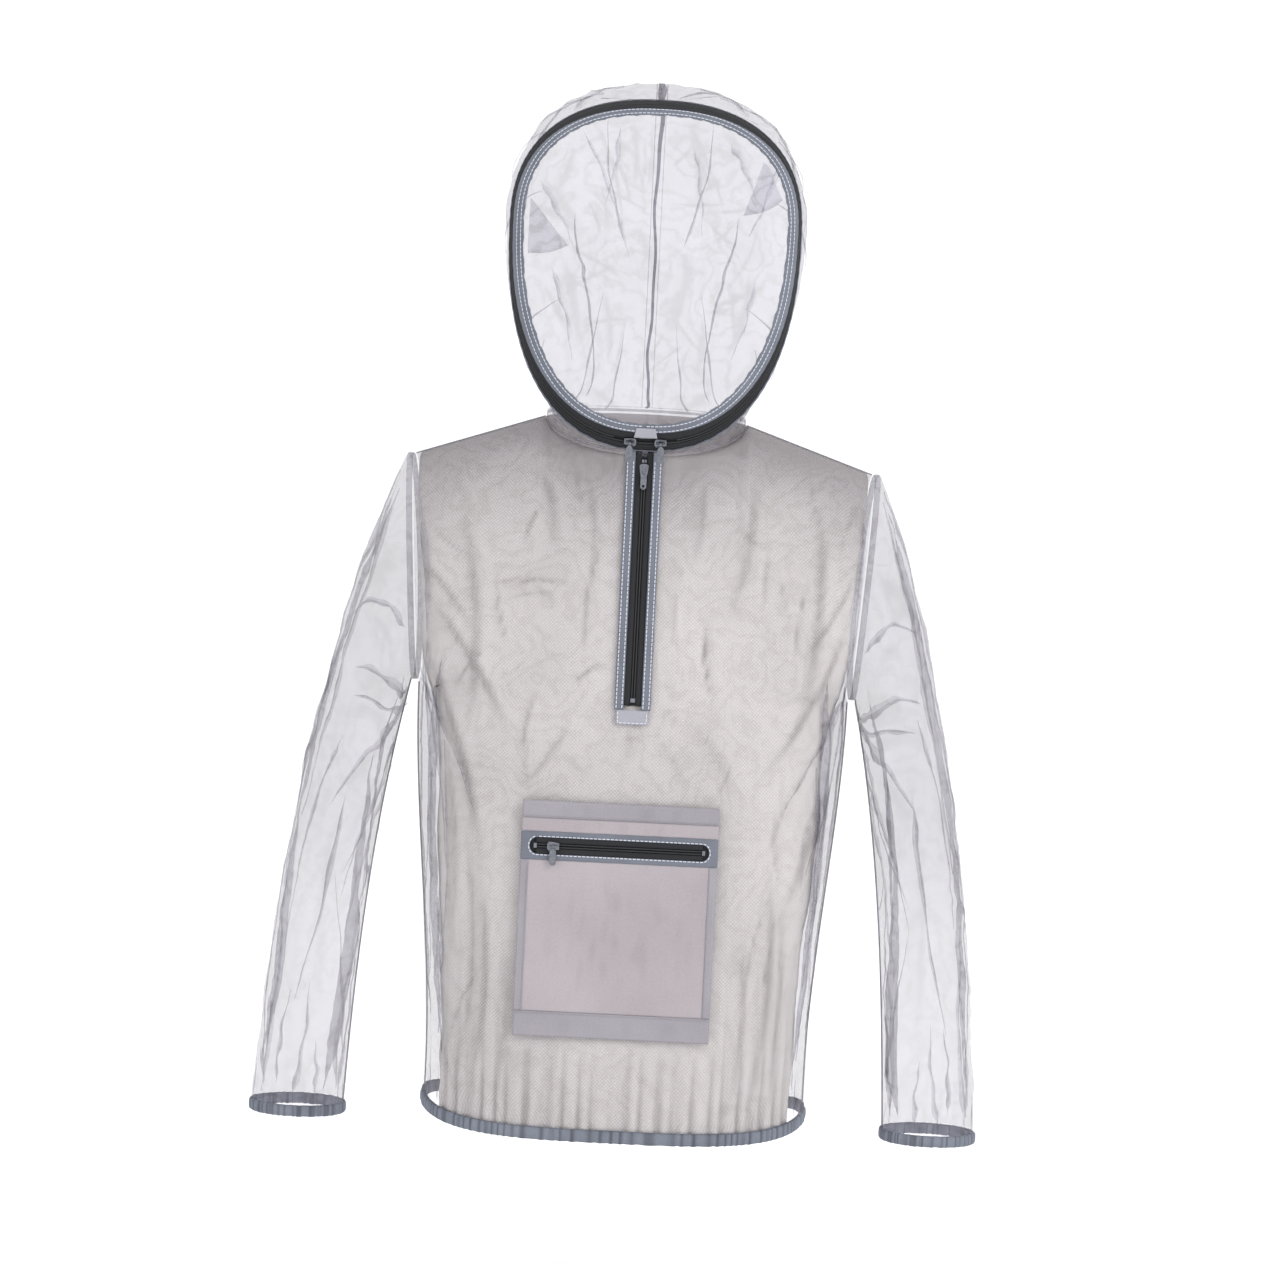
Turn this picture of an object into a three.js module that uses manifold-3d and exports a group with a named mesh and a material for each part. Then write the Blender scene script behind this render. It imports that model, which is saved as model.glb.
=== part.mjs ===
// Beekeeping jacket: a hooded pull-on jacket of fine netting with a lined body, elastic hem and cuffs, a short
// front zip, a zipped pocket and a zip-in face veil. Millimetres, +Z up, front towards -Y, wearer's left at +X.
// The origin is at the wearer's neck, on the jacket's centre plane and level with the foot of the face zip.
import * as THREE from 'three';
import Module from 'manifold-3d';
import { mergeVertices } from 'three/addons/utils/BufferGeometryUtils.js';

// Driving dimensions.
const neck = { half: 102, front: 95, back: 75, frontZ: -6, sideZ: 32, backZ: 40 };
const shoulder = { half: 235, z: -13 };
const armhole = { bottomZ: -245, halfDepth: 78 };
const chestHalf = 221;
const bodyDepthFront = 120;
const bodyDepthBack = 110;
const chestSlopeEnd = -262;
const hem = { half: 196, z: -681, sideRise: 14, height: 13 };
const cuff = { x: 327, half: 47, halfDepth: 36, z: -687, height: 12 };
const ring = { half: 146, height: 353, widestZ: 225, roundness: 2.35, footY: -97, lean: 50 };
const dome = { bulge: 58, centreZ: 178 };
const hood = { crownRise: 26, backY: 172, backZ: 215, crownY: 30 };
const frontZip = { length: 246, topDrop: 3, width: 20, sliderDrop: 11 };
const pocket = { centreX: -6, width: 196, topZ: -353, bottomZ: -589, topBand: 17, bottomBand: 25 };
const pocketZip = { z: -398, frameHeight: 28, frameBorder: 5.4, length: 172, sliderInset: 20 };
const netting = 1.6;
const liningCloth = 1.2;
const ribbon = 1.1;
const tape = { width: 7.4, thick: 1.0 };
const coil = { width: 2.2, thick: 2.4 };
const bindingWidth = 9;
const seamHalf = 4.5;
const gap = 0.4;
const liningEase = 1.44;
const faceSliderTurn = 4.2;
const tabLift = 1.9;

// Places worked out from the driving dimensions.
const seamEdge = seamHalf + gap;
const armholeMid = (shoulder.z + armhole.bottomZ) / 2;
const armholeHalf = (shoulder.z - armhole.bottomZ) / 2;
const slotHalf = frontZip.width / 2 + gap;
const crownZ = ring.height + hood.crownRise;
const zipTopZ = neck.frontZ - frontZip.topDrop;
const zipEndZ = zipTopZ - frontZip.length;
const neckSeam = { from: 2.1, to: 5.0 };
const hoodFootRise = neckSeam.to + 1.7;
const armSeam = { from: 1.5, to: 7.5 };
const { lerp, clamp, smoothstep } = THREE.MathUtils;
const deg = Math.PI / 180;
const wasm = await Module();
wasm.setup();

const look = {
  netting: new THREE.MeshStandardMaterial({ color: '#b3b0b8', roughness: 0.85 }),
  lining: new THREE.MeshStandardMaterial({ color: '#dcd6d3', roughness: 0.9 }),
  seam: new THREE.MeshStandardMaterial({ color: '#8b8892', roughness: 0.85 }),
  band: new THREE.MeshStandardMaterial({ color: '#646973', roughness: 0.8 }),
  binding: new THREE.MeshStandardMaterial({ color: '#7d8089', roughness: 0.75 }),
  pocket: new THREE.MeshStandardMaterial({ color: '#b7b0b4', roughness: 0.85 }),
  tab: new THREE.MeshStandardMaterial({ color: '#9a9aa2', roughness: 0.8 }),
  tape: new THREE.MeshStandardMaterial({ color: '#22232a', roughness: 0.8 }),
  coil: new THREE.MeshStandardMaterial({ color: '#17181d', roughness: 0.45 }),
  elastic: new THREE.MeshStandardMaterial({ color: '#e6e4e2', roughness: 0.8 }),
  metal: new THREE.MeshStandardMaterial({ color: '#8e9196', roughness: 0.3, metalness: 1 }),
};

const jacket = new THREE.Group();

function add(name, geometry, material, parent = jacket) {
  const mesh = new THREE.Mesh(geometry, material);
  mesh.name = name;
  parent.add(mesh);
  return mesh;
}

// Evenly spaced numbers from a to b, both included.
function steps(a, b, count) {
  return Array.from({ length: count + 1 }, (_, i) => lerp(a, b, i / count));
}

// A run of numbers through several stops, each pair of stops divided into its own count of steps.
function stopsRun(stops, counts) {
  const run = [stops[0]];
  counts.forEach((count, i) => run.push(...steps(stops[i], stops[i + 1], count).slice(1)));
  return run;
}

// A closed solid of even thickness about the surface place(u, v), on the grid us by vs. The grid may close on
// itself along u, may leave out cells that keep(u, v) refuses at their middles, and may end in a pole at the last v.
function sheetSolid(place, us, vs, thickness, { closed = false, keep = () => true, pole = false } = {}) {
  const columns = us.length;
  const rows = vs.length;
  const points = us.map((u) => vs.map((v) => place(u, v)));
  const wrap = (i) => (closed ? (i + columns) % columns : clamp(i, 0, columns - 1));
  const faces = [[], []];
  for (let i = 0; i < columns; i += 1) {
    for (let j = 0; j < rows; j += 1) {
      const row = pole && j === rows - 1 ? j - 1 : j;
      const along = points[wrap(i + 1)][row].clone().sub(points[wrap(i - 1)][row]);
      const across = points[i][Math.min(row + 1, rows - 1)].clone().sub(points[i][Math.max(row - 1, 0)]);
      const normal = along.cross(across).normalize();
      faces[0].push(points[i][j].clone().addScaledVector(normal, thickness / 2));
      faces[1].push(points[i][j].clone().addScaledVector(normal, -thickness / 2));
    }
  }
  if (pole) {
    for (const side of faces) {
      const middle = new THREE.Vector3();
      for (let i = 0; i < columns; i += 1) middle.add(side[i * rows + rows - 1]);
      middle.divideScalar(columns);
      for (let i = 0; i < columns; i += 1) side[i * rows + rows - 1] = middle;
    }
  }
  const cellColumns = closed ? columns : columns - 1;
  const middleOf = (list, i) => (i + 1 < list.length ? (list[i] + list[i + 1]) / 2 : list[i]);
  const kept = (i, j) => {
    if (j < 0 || j > rows - 2) return false;
    if (!closed && (i < 0 || i > columns - 2)) return false;
    const column = closed ? (i + columns) % columns : i;
    return keep(middleOf(us, column), middleOf(vs, j));
  };
  const corners = [];
  const triangle = (a, b, c) => {
    const area = b.clone().sub(a).cross(c.clone().sub(a)).length();
    if (area > 1e-7) corners.push(a, b, c);
  };
  const quad = (a, b, c, d) => {
    triangle(a, b, c);
    triangle(a, c, d);
  };
  const at = (side, i, j) => faces[side][wrap(i) * rows + j];
  for (let i = 0; i < cellColumns; i += 1) {
    for (let j = 0; j < rows - 1; j += 1) {
      if (!kept(i, j)) continue;
      quad(at(0, i, j), at(0, i + 1, j), at(0, i + 1, j + 1), at(0, i, j + 1));
      triangle(at(1, i, j), at(1, i + 1, j + 1), at(1, i + 1, j));
      triangle(at(1, i, j), at(1, i, j + 1), at(1, i + 1, j + 1));
      if (!kept(i, j - 1)) quad(at(0, i, j), at(1, i, j), at(1, i + 1, j), at(0, i + 1, j));
      if (!kept(i, j + 1)) quad(at(0, i + 1, j + 1), at(1, i + 1, j + 1), at(1, i, j + 1), at(0, i, j + 1));
      if (!kept(i - 1, j)) quad(at(0, i, j + 1), at(1, i, j + 1), at(1, i, j), at(0, i, j));
      if (!kept(i + 1, j)) quad(at(0, i + 1, j), at(1, i + 1, j), at(1, i + 1, j + 1), at(0, i + 1, j + 1));
    }
  }
  let volume = 0;
  for (let k = 0; k < corners.length; k += 3) {
    volume += corners[k].dot(corners[k + 1].clone().cross(corners[k + 2]));
  }
  if (volume < 0) corners.reverse();
  return new THREE.BufferGeometry().setFromPoints(corners);
}

function toSolid(geometry) {
  const bare = geometry.clone();
  bare.deleteAttribute('normal');
  bare.deleteAttribute('uv');
  const merged = mergeVertices(bare, 1e-4);
  const vertProperties = new Float32Array(merged.attributes.position.array);
  return new wasm.Manifold(new wasm.Mesh({ numProp: 3, vertProperties, triVerts: new Uint32Array(merged.index.array) }));
}

function joined(first, second) {
  const mesh = toSolid(first).add(toSolid(second)).getMesh();
  const geometry = new THREE.BufferGeometry();
  geometry.setAttribute('position', new THREE.BufferAttribute(mesh.vertProperties, 3));
  geometry.setIndex(new THREE.BufferAttribute(mesh.triVerts, 1));
  return geometry;
}

function extruded(shape, depth, curveSegments = 6) {
  return new THREE.ExtrudeGeometry(shape, { depth, bevelEnabled: false, curveSegments });
}

// ---- Body ----

// Half the body's width at a height: hem, chest, then out to the shoulder point.
function bodyHalf(z) {
  if (z < armhole.bottomZ) {
    const rise = smoothstep(z, hem.z + 40, armhole.bottomZ);
    return lerp(hem.half, chestHalf, rise);
  }
  const rise = clamp((z - armhole.bottomZ) / (shoulder.z - armhole.bottomZ), 0, 1);
  return lerp(chestHalf, shoulder.half, rise ** 1.5);
}

// How far the middle of the front (side -1) or back (side 1) stands out at a height.
function bodyDepth(side, z) {
  const fall = clamp((neck.frontZ - z) / (neck.frontZ - chestSlopeEnd), 0, 1);
  return side < 0 ? lerp(neck.front, bodyDepthFront, fall) : lerp(neck.back, bodyDepthBack, fall);
}

function hemZ(u) {
  return hem.z + hem.sideRise * Math.abs(u) ** 3;
}

// The panel's top edge at u: the neckline's oval, then the straight shoulder line.
function topEdge(side, u) {
  const x = Math.abs(u) * shoulder.half;
  if (x < neck.half) {
    const oval = Math.sqrt(1 - (x / neck.half) ** 2);
    const reach = side < 0 ? neck.front : neck.back;
    return { y: Math.max(seamEdge, reach * oval), z: lerp(neck.sideZ, side < 0 ? neck.frontZ : neck.backZ, oval) };
  }
  return { y: seamEdge, z: lerp(neck.sideZ, shoulder.z, (x - neck.half) / (shoulder.half - neck.half)) };
}

// How far the armhole edge stands forward or back of the side seam's plane.
function sideReach(z) {
  if (z <= armhole.bottomZ) return seamEdge;
  if (z >= armholeMid) return armhole.halfDepth;
  const oval = Math.sqrt(1 - ((armholeMid - z) / armholeHalf) ** 2);
  return lerp(seamEdge, armhole.halfDepth, oval);
}

// A quarter-oval fall from the top edge, so that shoulders are round.
function shoulderRound(drop) {
  const t = clamp(drop / armholeHalf, 0, 1);
  return Math.sqrt(1 - (1 - t) ** 2);
}

function bodyPointAt(side, u, z) {
  const edge = topEdge(side, u);
  const spread = bodyHalf(z) / shoulder.half - 1;
  const crown = Math.sqrt(Math.max(0, 1 - Math.abs(u) ** 3.4));
  const out = lerp(sideReach(z), bodyDepth(side, z), crown);
  const y = lerp(edge.y, out, shoulderRound(edge.z - z));
  return new THREE.Vector3(shoulder.half * u * (1 + spread * u * u), side * y, z);
}

function bodyPoint(side, u, t) {
  return bodyPointAt(side, u, lerp(hemZ(u), topEdge(side, u).z, t));
}

// The point of the front surface at a given x and z, moved outwards by lift.
function onFront(x, z, lift = 0) {
  const at = (px, pz) => {
    let u = px / shoulder.half;
    for (let i = 0; i < 4; i += 1) u = px / shoulder.half / (1 + (bodyHalf(pz) / shoulder.half - 1) * u * u);
    return bodyPointAt(-1, u, pz);
  };
  const point = at(x, z);
  if (lift === 0) return point;
  const dx = at(x + 0.5, z).sub(at(x - 0.5, z));
  const dz = at(x, z + 0.5).sub(at(x, z - 0.5));
  return point.addScaledVector(dx.cross(dz).normalize(), lift);
}

function moved(place, distance) {
  return (u, v) => {
    const step = 1e-3;
    const du = place(u + step, v).sub(place(u - step, v));
    const dv = place(u, v + step).sub(place(u, v - step));
    return place(u, v).addScaledVector(du.cross(dv).normalize(), distance);
  };
}

function addBody() {
  const slotU = slotHalf / shoulder.half;
  const neckU = neck.half / shoulder.half;
  const liningEdgeU = 0.88;
  const liningTopT = 0.89;
  const neckRun = neckAngles().map((angle) => neckU * Math.cos(angle * deg));
  const half = [...neckRun, ...stopsRun([neckU, 0.78, liningEdgeU, 1], [2, 1, 3]).slice(1)];
  const across = [...half.map((u) => -u).reverse(), ...half];
  const slotT = (zipEndZ - gap - hemZ(0)) / (topEdge(-1, 0).z - hemZ(0));
  const up = stopsRun([0, slotT, liningTopT, 1], [5, 5, 3]);
  const outsideSlot = (u, t) => Math.abs(u) > slotU || t < slotT;
  add('front_panel', sheetSolid((u, t) => bodyPoint(-1, u, t), across, up, netting, { keep: outsideSlot }), look.netting);
  add('back_panel', sheetSolid((u, t) => bodyPoint(1, u, t), across, up, netting), look.netting);

  // The lining stops short of the side seams, and its front leaves room round the zip.
  const liningInset = netting / 2 + liningCloth / 2 + liningEase;
  const liningAcross = across.filter((u) => Math.abs(u) <= liningEdgeU + 1e-6);
  const liningUp = [0.006, ...stopsRun([0, slotT, liningTopT], [5, 5]).slice(1)];
  const inner = (side) => moved((u, t) => bodyPoint(side, u, t), side < 0 ? -liningInset : liningInset);
  add('lining_front', sheetSolid(inner(-1), liningAcross, liningUp, liningCloth, { keep: outsideSlot }), look.lining);
  add('lining_back', sheetSolid(inner(1), liningAcross, liningUp, liningCloth), look.lining);

  for (const [name, hand] of [['left', 1], ['right', -1]]) {
    const sideStrip = (y, z) => new THREE.Vector3(hand * bodyHalf(z), y, z);
    const sideFoot = hemZ(1) + gap;
    const sideTop = armhole.bottomZ - 3;
    add(`side_seam_${name}`, sheetSolid(sideStrip, [-seamHalf, seamHalf], steps(sideFoot, sideTop, 10), ribbon), look.seam);
    const shoulderStrip = (y, x) => new THREE.Vector3(hand * x, y, topEdge(-1, x / shoulder.half).z);
    const shoulderRun = steps(neck.half + 1.5, shoulder.half - 0.5, 6);
    add(`shoulder_seam_${name}`, sheetSolid(shoulderStrip, [-seamHalf, seamHalf], shoulderRun, ribbon), look.seam);
  }

  const neckStrip = (angle, rise) => neckPoint(angle).add(new THREE.Vector3(0, 0, rise));
  const quarter = neckAngles();
  const front = [...quarter.map((angle) => -180 + angle), -90, ...quarter.map((angle) => -angle)];
  const back = [...quarter.slice(0, -1).map((angle) => 180 - angle), 90, ...quarter.slice(0, -1)];
  const neckLoop = [...front, ...back].sort((a, b) => a - b);
  const neckRise = [neckSeam.from, neckSeam.to];
  add('neck_seam', sheetSolid(neckStrip, neckLoop, neckRise, ribbon, { closed: true }), look.seam);
}

// The neckline's divisions on one side, as angles from the front zip's slot down to the shoulder seam.
function neckAngles() {
  return steps(Math.acos(slotHalf / neck.half) / deg, 0, 7);
}

// The neck opening's oval at an angle from -90 (front) through 0 (wearer's left) to 90 (back), in degrees.
function neckPoint(angle) {
  const s = Math.sin(angle * deg);
  const reach = s < 0 ? neck.front : neck.back;
  const z = lerp(neck.sideZ, s < 0 ? neck.frontZ : neck.backZ, Math.abs(s));
  return new THREE.Vector3(neck.half * Math.cos(angle * deg), reach * s, z);
}

// ---- Elastic channels: a folded U of fabric open at its top, with a flat elastic inside ----

function channelSolids(loop, height, spread, count) {
  const run = steps(0, 1, count).slice(0, -1);
  const outwards = (w) => {
    const tangent = loop(w + 1e-3).sub(loop(w - 1e-3));
    return new THREE.Vector3(tangent.y, -tangent.x, 0).normalize();
  };
  const fold = [[spread, 0], [spread, -height + 1], [0, -height], [-spread, -height + 1], [-spread, 0]];
  const channel = (w, k) => {
    const [out, down] = fold[k];
    return loop(w).addScaledVector(outwards(w), out).add(new THREE.Vector3(0, 0, down - gap - 0.1));
  };
  const band = (w, down) => loop(w).add(new THREE.Vector3(0, 0, down - gap));
  const elasticThick = 2 * (spread - ribbon / 2 - 0.7);
  return {
    casing: sheetSolid(channel, run, [0, 1, 2, 3, 4], ribbon, { closed: true }),
    elastic: sheetSolid(band, run, [-height + 2.6, -1.6], elasticThick, { closed: true }),
  };
}

function hemLoop(w) {
  const turn = ((w % 1) + 1) % 1;
  const side = turn < 0.5 ? -1 : 1;
  const angle = side < 0 ? lerp(-90, 90, turn * 2) : lerp(90, -90, turn * 2 - 1);
  return bodyPoint(side, Math.sin(angle * deg), 0);
}

function addHem() {
  const { casing, elastic } = channelSolids(hemLoop, hem.height, 2.5, 36);
  add('hem_casing', casing, look.band);
  add('hem_elastic', elastic, look.elastic);
}

// ---- Sleeves ----

// The armhole's oval: 0 at the shoulder point, 90 at the front, 180 at the armpit.
function armholePoint(angle, out) {
  const z = armholeMid + armholeHalf * Math.cos(angle * deg);
  return new THREE.Vector3(bodyHalf(z) + out, -armhole.halfDepth * Math.sin(angle * deg), z);
}

function cuffPoint(angle) {
  const x = cuff.x + cuff.half * Math.cos(angle * deg);
  return new THREE.Vector3(x, -cuff.halfDepth * Math.sin(angle * deg), cuff.z);
}

// A point of the sleeve: a cubic curve from the armhole to the cuff, fuller over the shoulder than under the arm.
function sleevePoint(angle, t) {
  const top = (1 + Math.cos(angle * deg)) / 2;
  const start = armholePoint(angle, armSeam.to + 0.95);
  const end = cuffPoint(angle);
  const leave = start.clone().add(new THREE.Vector3(lerp(33, 80, top), 0, lerp(-150, -200, top)));
  const arrive = end.clone().add(new THREE.Vector3(lerp(-7, -12, top), 0, lerp(150, 230, top)));
  return new THREE.CubicBezierCurve3(start, leave, arrive, end).getPoint(t);
}

function addSleeve(name, hand) {
  const mirror = (point) => point.multiply(new THREE.Vector3(hand, 1, 1));
  const seamTurn = (t, width) => width / lerp(armhole.halfDepth, cuff.halfDepth, t) / deg;
  const fabric = (turn, t) => {
    const edge = seamTurn(t, seamEdge);
    return mirror(sleevePoint(lerp(180 + edge, 540 - edge, turn), t));
  };
  const underarm = (turn, t) => mirror(sleevePoint(180 + turn * seamTurn(t, seamHalf), t));
  add(`sleeve_${name}`, sheetSolid(fabric, steps(0, 1, 16), steps(0, 1, 10), netting), look.netting);
  add(`sleeve_seam_${name}`, sheetSolid(underarm, [-1, 1], steps(0, 1, 10), ribbon), look.seam);
  const ringRun = steps(0, 360, 20).slice(0, -1);
  const armBand = (angle, out) => mirror(armholePoint(angle, out));
  const armWidth = [armSeam.from, armSeam.to];
  add(`armhole_seam_${name}`, sheetSolid(armBand, ringRun, armWidth, ribbon, { closed: true }), look.seam);
  const loop = (w) => mirror(cuffPoint(w * 360));
  const { casing, elastic } = channelSolids(loop, cuff.height, 2.4, 16);
  add(`cuff_casing_${name}`, casing, look.band);
  add(`cuff_elastic_${name}`, elastic, look.elastic);
}

// ---- Hood, face ring and veil ----

// The face ring's outline, a rounded egg in a plane that leans back: -90 at its foot, 0 at the wearer's left.
function ringPoint(angle) {
  const power = 2 / ring.roundness;
  const c = Math.cos(angle * deg);
  const s = Math.sin(angle * deg);
  const reach = s > 0 ? ring.height - ring.widestZ : ring.widestZ;
  const z = ring.widestZ + reach * Math.sign(s) * Math.abs(s) ** power;
  return new THREE.Vector3(ring.half * Math.sign(c) * Math.abs(c) ** power, ringY(z), z);
}

function ringY(z) {
  return ring.footY + ring.lean * (z / ring.height);
}

// The veil's dome inside the ring, by ring angle and by depth from 0 at the ring to 90 at the middle. It leaves the
// ring straight forwards at the sides and more gently at the foot.
function domePoint(angle, inward) {
  const rim = ringPoint(angle);
  const s = Math.sin(angle * deg);
  const power = 1 + 0.7 * Math.max(0, -s) ** 2 + 0.24 * Math.max(0, s) ** 2;
  const z = lerp(dome.centreZ, rim.z, Math.cos(inward * deg));
  const y = ringY(z) - dome.bulge * Math.sin(inward * deg) ** power;
  return new THREE.Vector3(rim.x * Math.cos(inward * deg), y, z);
}

// The dome's point at a distance along the cloth from the ring.
function domeInset(angle, distance) {
  let walked = 0;
  let before = domePoint(angle, 0);
  for (let inward = 0.5; inward <= 90; inward += 0.5) {
    const here = domePoint(angle, inward);
    const step = here.distanceTo(before);
    if (walked + step >= distance) return before.lerp(here, (distance - walked) / step);
    walked += step;
    before = here;
  }
  return before;
}

const ringSteps = 36;
const ringAll = steps(-90, 270, ringSteps).slice(0, -1);
const ringOpen = steps(-90, 270, ringSteps).slice(1, -1);
const inset = { tape: 0, coil: tape.width + gap };
inset.innerCoil = inset.coil + coil.width + gap;
inset.innerTape = inset.innerCoil + coil.width + gap;
inset.binding = inset.innerTape + tape.width + gap;
inset.veil = inset.binding + bindingWidth + gap;

function addFaceZip() {
  const strip = (from, width, thick, angles, closed) =>
    sheetSolid(domeInset, angles, [from, from + width], thick, { closed });
  add('face_zip_outer_tape', strip(inset.tape, tape.width, tape.thick, ringAll, true), look.tape);
  add('face_zip_outer_coil', strip(inset.coil, coil.width, coil.thick, ringAll, true), look.coil);
  add('face_zip_inner_coil', strip(inset.innerCoil, coil.width, coil.thick, ringOpen, false), look.coil);
  add('face_zip_inner_tape', strip(inset.innerTape, tape.width, tape.thick, ringOpen, false), look.tape);
  add('veil_binding', strip(inset.binding, bindingWidth, ribbon, ringAll, true), look.binding);
  const veilEdge = inset.veil;
  const veilPlace = (angle, t) => {
    const edge = domeInset(angle, veilEdge);
    const rim = ringPoint(angle);
    const reach = Math.hypot(edge.x, edge.z - dome.centreZ) / Math.hypot(rim.x, rim.z - dome.centreZ);
    const start = Math.acos(clamp(reach, 0, 1)) / deg;
    return domePoint(angle, lerp(start, 90, t));
  };
  add('veil', sheetSolid(veilPlace, ringAll, [0, 0.12, 0.32, 0.6, 1], netting, { closed: true, pole: true }), look.netting);
}

// The hood's centre seam from the nape (0) over the crown to the top of the ring (1).
const crownEnd = 180 - Math.asin((ring.height + 1.5 - hood.backZ) / (crownZ - hood.backZ)) / deg;

function crownPoint(t) {
  const angle = lerp(-90, crownEnd, t);
  const c = Math.cos(angle * deg);
  const s = Math.sin(angle * deg);
  if (angle < 0) {
    const foot = neck.backZ + hoodFootRise;
    return new THREE.Vector3(0, lerp(neck.back, hood.backY, c ** 1.6), lerp(hood.backZ, foot, -s));
  }
  return new THREE.Vector3(0, hood.crownY + (hood.backY - hood.crownY) * c, lerp(hood.backZ, crownZ, s));
}

// The hood panel's front edge: a short rise from the neckline to the ring's foot, then up round the ring.
const hoodFrontX = 20;
const hoodRise = 0.05;

function hoodEdge(t) {
  const foot = neckPoint(-Math.acos(hoodFrontX / neck.half) / deg);
  foot.z += hoodFootRise;
  const power = ring.roundness / 2;
  const from = -Math.acos((hoodFrontX / ring.half) ** power) / deg;
  const to = Math.acos((14 / ring.half) ** power) / deg;
  const behind = new THREE.Vector3(0, 1.4, 0);
  if (t < hoodRise) return foot.lerp(ringPoint(from).add(behind), t / hoodRise);
  return ringPoint(lerp(from, to, (t - hoodRise) / (1 - hoodRise))).add(behind);
}

// A point of the hood panel on the wearer's left: each row runs level round the head from the front edge to the
// centre seam, on two quarter ovals that share a side point.
function hoodPoint(turn, t) {
  const start = hoodEdge(t);
  const end = crownPoint(t);
  const neckShare = neck.half * (1 - smoothstep(t, 0, 0.6));
  const half = ((start.x * 1.03) ** 4 + neckShare ** 4) ** 0.25;
  const from = -Math.acos(clamp(start.x / half, 0, 1)) / deg;
  const to = Math.acos(seamEdge / half) / deg;
  const angle = lerp(from, to, turn);
  const s = Math.sin(angle * deg);
  const frontReach = (neck.front / neck.half) * half;
  const middleY = start.y - frontReach * Math.sin(from * deg);
  const y = middleY + (s < 0 ? frontReach : end.y - middleY) * s;
  const shareUp = Math.sin(((angle - from) / (90 - from)) * 90 * deg);
  const levelZ = lerp(start.z, end.z, shareUp);
  const neckZ = neckPoint(angle).z + hoodFootRise;
  return new THREE.Vector3(half * Math.cos(angle * deg), y, lerp(neckZ, levelZ, smoothstep(t, 0, 0.25)));
}

function addHood() {
  const rows = stopsRun([0, hoodRise, 1], [1, 11]);
  for (const [name, hand] of [['left', 1], ['right', -1]]) {
    const place = (turn, t) => hoodPoint(turn, t).multiply(new THREE.Vector3(hand, 1, 1));
    add(`hood_panel_${name}`, sheetSolid(place, steps(0, 1, 10), rows, netting), look.netting);
  }
  const seam = (x, t) => crownPoint(t).add(new THREE.Vector3(x, 0, 0));
  add('hood_centre_seam', sheetSolid(seam, [-seamHalf, seamHalf], steps(0, 1, 18), ribbon), look.seam);
  const tabPlace = (x, distance) => {
    const along = domeInset(-90, distance);
    const before = domeInset(-90, distance - 1);
    const forward = new THREE.Vector3(1, 0, 0).cross(along.clone().sub(before)).normalize();
    return new THREE.Vector3(x * lerp(1, 0.8, (distance - 9) / 13), along.y, along.z).addScaledVector(forward, tabLift);
  };
  const tabRun = steps(inset.innerCoil + 5.4, inset.binding + 5.4, 3);
  add('face_zip_tab', sheetSolid(tabPlace, [-13, 0, 13], tabRun, ribbon), look.tab);
}

// ---- Sliders and pulls ----
// Each is made flat: x across the zip, y along it, z outwards, with z = 0 on the slider plate's underside. A pull
// turns about its own x axis, at its origin, and hangs along -y.

const slider = { length: 12, width: 9, tail: 6.4, plate: 1.0, bridge: 2.4, reach: 4.4, under: 3.2, top: 4.3, leg: 0.9 };
const eyeBar = 1.2;
const forkPivot = (slider.plate + slider.under) / 2;
const eyePivot = (slider.under + slider.top) / 2;
const fork = { bar: 1.1, window: 3.0, windowEnd: 5.6, width: 6, length: 20, hole: 1.3 };
const eye = { inner: 1.15, outer: 2.05, width: 1.8, length: 19, tag: 6.4, thick: 1.1, hole: 1.4 };
const sliderLift = coil.thick / 2 + 0.3;

function box(width, depth, height, x, y, z) {
  return new THREE.BoxGeometry(width, depth, height).translate(x, y, z);
}

function sliderGeometry(bridgeWidth) {
  const half = slider.length / 2;
  const outline = new THREE.Shape();
  outline.moveTo(-slider.tail / 2, -half);
  outline.lineTo(slider.tail / 2, -half);
  outline.quadraticCurveTo(slider.width / 2, 0, slider.width / 2, half - 1.5);
  outline.lineTo(slider.width / 4, half);
  outline.lineTo(-slider.width / 4, half);
  outline.lineTo(-slider.width / 2, half - 1.5);
  outline.quadraticCurveTo(-slider.width / 2, 0, -slider.tail / 2, -half);
  const legTall = slider.top - slider.plate / 2;
  const legMiddle = (slider.top + slider.plate / 2) / 2;
  const legY = slider.reach - slider.leg / 2;
  const barMiddle = (slider.under + slider.top) / 2;
  let body = extruded(outline, slider.plate, 3);
  body = joined(body, box(bridgeWidth, slider.leg, legTall, 0, legY, legMiddle));
  body = joined(body, box(bridgeWidth, slider.leg, legTall, 0, -legY, legMiddle));
  return joined(body, box(bridgeWidth, 2 * slider.reach, slider.top - slider.under, 0, 0, barMiddle));
}

// A flat tag with a square window whose top bar turns under the slider's bridge.
function forkPullGeometry() {
  const tag = new THREE.Shape();
  tag.moveTo(-fork.width / 2, fork.bar / 2);
  tag.lineTo(-fork.width / 2, -fork.length + 2);
  tag.lineTo(-fork.width / 2 + 1.6, -fork.length);
  tag.lineTo(fork.width / 2 - 1.6, -fork.length);
  tag.lineTo(fork.width / 2, -fork.length + 2);
  tag.lineTo(fork.width / 2, fork.bar / 2);
  const gapPath = new THREE.Path();
  gapPath.moveTo(-fork.window / 2, -fork.bar / 2);
  gapPath.lineTo(fork.window / 2, -fork.bar / 2);
  gapPath.lineTo(fork.window / 2, -fork.windowEnd);
  gapPath.lineTo(-fork.window / 2, -fork.windowEnd);
  const hole = new THREE.Path();
  hole.absarc(0, -fork.length + 3.4, fork.hole, 0, 2 * Math.PI);
  tag.holes.push(gapPath, hole);
  return extruded(tag, fork.bar, 4).translate(0, 0, -fork.bar / 2);
}

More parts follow.
